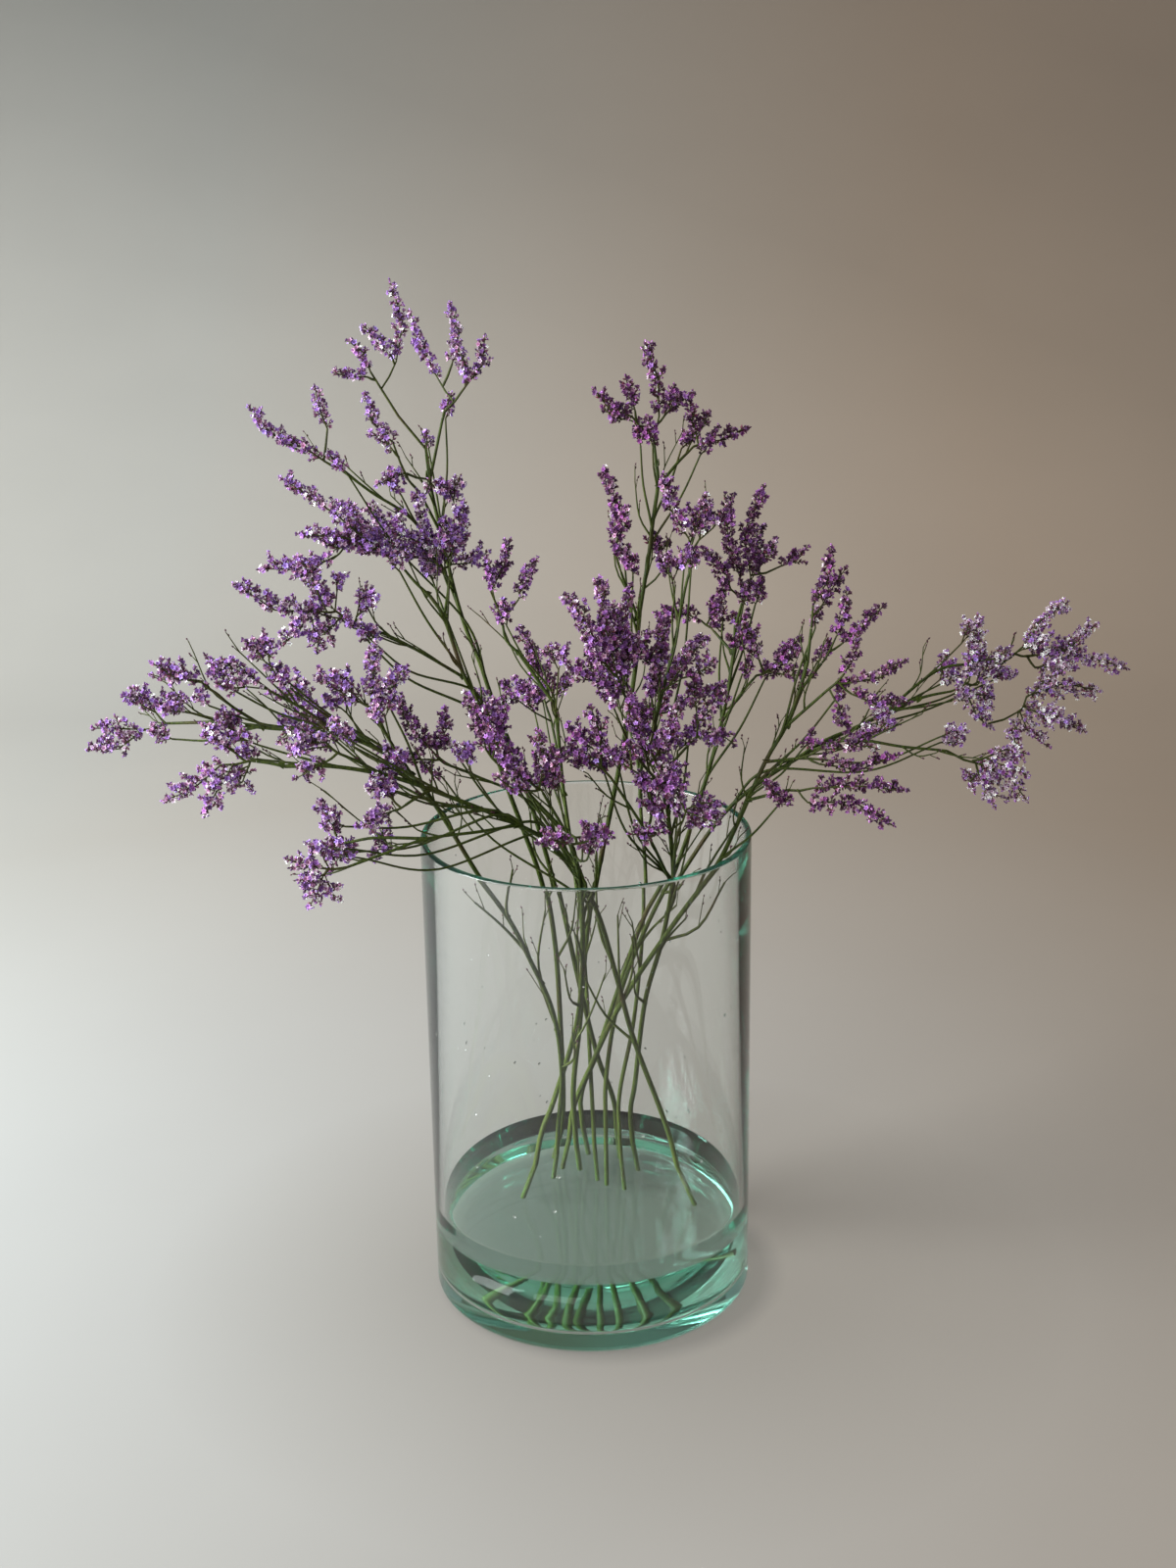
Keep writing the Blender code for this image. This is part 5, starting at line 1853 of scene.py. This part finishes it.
    def spray(self, shoot: Shoot) -> None:
        """Builds a spray's green twigs and its florets."""
        bunch = Bunch(shoot.stem)
        bunch.lines.add((shoot.start, shoot.fork), (TWIG_END_RADIUS, LINK_RADIUS), self.neck_brown)
        for root, a, b in shoot.ways:
            middle = root.lerp(a, 0.5) - UP * (self.link_sag * (a - root).length)
            radii = (LINK_RADIUS, LINK_RADIUS, self.link_end_radius)
            bunch.lines.add((root, middle, a), radii, self.link_brown)
            self.plume(a, b, bunch)
            whole, part = divmod(shoot.stem.growth.sisters, 1.0)
            for _ in range(int(whole) + (self.rng.random() < part)):
                self.sister(root, a, b, bunch)
        self.bunch_pieces(bunch, "twigs_" + shoot.name, "florets_" + shoot.name, shoot.name)

    def build(self) -> None:
        """Builds and dresses every stem and spray."""
        for stem in STEMS:
            self.stem(stem)
        for shoot in grow_shoots():
            self.spray(shoot)
        claim(self.scatter_piece("stem_scales", self.scale_spots, self.scales, self.green), Slot.GREEN)
        log.info("%d florets", self.floret_count)


@dataclass(frozen=True)
class Lamp:
    """A soft rectangular light that hangs at a place and aims at a point."""
    name: str
    place: Triple
    aim: Triple
    size: Pair
    power: float
    colour: Triple

    def build(self) -> None:
        """Hangs the light in the scene."""
        light = bpy.data.lights.new(self.name, "AREA")
        light.shape = "RECTANGLE"
        light.size, light.size_y = self.size
        light.energy = self.power
        light.color = self.colour
        hung = bpy.data.objects.new(self.name, light)
        hung.location = self.place
        hung.rotation_euler = (Vector(self.aim) - Vector(self.place)).to_track_quat("-Z", "Y").to_euler()
        bpy.context.scene.collection.objects.link(hung)


@dataclass
class Studio:
    """A pale sweep of floor, soft lights and the camera."""
    lens: float = 49.5
    sensor: float = 36.0
    eye: Triple = (0.0018, -1.230, 0.730)
    tilt: float = 71.97
    roll: float = -0.92
    floor_width: float = 7.0
    floor_front: float = -3.2
    floor_back: float = 2.8
    floor_drop: float = 0.0004
    sweep: float = 1.5
    sweep_steps: int = 24
    wall_height: float = 3.2
    lamps: tuple[Lamp, ...] = (
        Lamp("window", (-1.8, -0.45, 1.0), (0.0, 0.1, 0.35), (1.2, 1.4), 74.0, (0.95, 0.98, 1.0)),
        Lamp("front_fill", (-1.2, -2.3, 1.8), (0.0, 0.0, 0.3), (1.5, 1.5), 24.0, (1.0, 0.99, 0.97)))
    air: Triple = (0.55, 0.56, 0.58)
    air_strength: float = 0.50
    bounces: int = 80
    finish: FloorFinish = FloorFinish()

    def floor(self) -> None:
        """Makes the floor, which sweeps up behind the vase."""
        centre = (self.floor_back - self.sweep, self.sweep - self.floor_drop)
        profile = [(self.floor_front, -self.floor_drop), *arc(centre, self.sweep, -90, 0, self.sweep_steps),
                   (self.floor_back, self.wall_height)]
        spots = [(x, y, z) for y, z in profile for x in (-self.floor_width / 2, self.floor_width / 2)]
        mesh = bpy.data.meshes.new("pale_floor")
        mesh.from_pydata(spots, [], [(k, k + 1, k + 3, k + 2) for k in range(0, len(spots) - 2, 2)])
        mesh.shade_smooth()
        floor = show("pale_floor", mesh)
        floor.data.materials.append(self.finish.build())
        floor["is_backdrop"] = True

    def camera(self) -> None:
        """Sets the camera at the height and tilt that the vase's ellipses give."""
        lens = bpy.data.cameras.new("camera")
        lens.lens = self.lens
        lens.sensor_width = self.sensor
        camera = bpy.data.objects.new("camera", lens)
        tilt = Matrix.Rotation(math.radians(self.tilt), 4, "X")
        roll = Matrix.Rotation(math.radians(self.roll), 4, "Z")
        camera.matrix_world = Matrix.Translation(self.eye) @ (tilt @ roll)
        bpy.context.scene.collection.objects.link(camera)
        bpy.context.scene.camera = camera

    def build(self) -> None:
        """Sets up the whole studio."""
        self.floor()
        self.camera()
        for lamp in self.lamps:
            lamp.build()
        world = bpy.data.worlds.new("studio_air")
        world.use_nodes = True
        air = world.node_tree.nodes["Background"].inputs
        air["Color"].default_value = (*self.air, 1.0)
        air["Strength"].default_value = self.air_strength
        bpy.context.scene.world = world
        bpy.context.scene.view_settings.view_transform = "Standard"
        paths = bpy.context.scene.cycles
        paths.caustics_reflective = paths.caustics_refractive = False
        paths.max_bounces = paths.transmission_bounces = paths.glossy_bounces = self.bounces


def corners(box: Iterable[Vector]) -> list[list[float]]:
    """Returns a box's two corners as plain lists."""
    return [list(corner) for corner in box]


def main() -> None:
    """Builds the studio, the vase, the water and the bouquet."""
    logging.basicConfig(level=logging.INFO, format="%(message)s")
    solid_box = corners(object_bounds())
    Studio().build()
    vase = Vase()
    vase.dress(vase.build())
    water = Water(vase)
    water.dress(water.build())
    droplets = Droplets(vase, water.finish)
    droplets.dress(droplets.build())
    Bouquet().build()
    {"solids": solid_box, "visual": corners(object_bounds())}


if __name__ == "__main__":
    main()
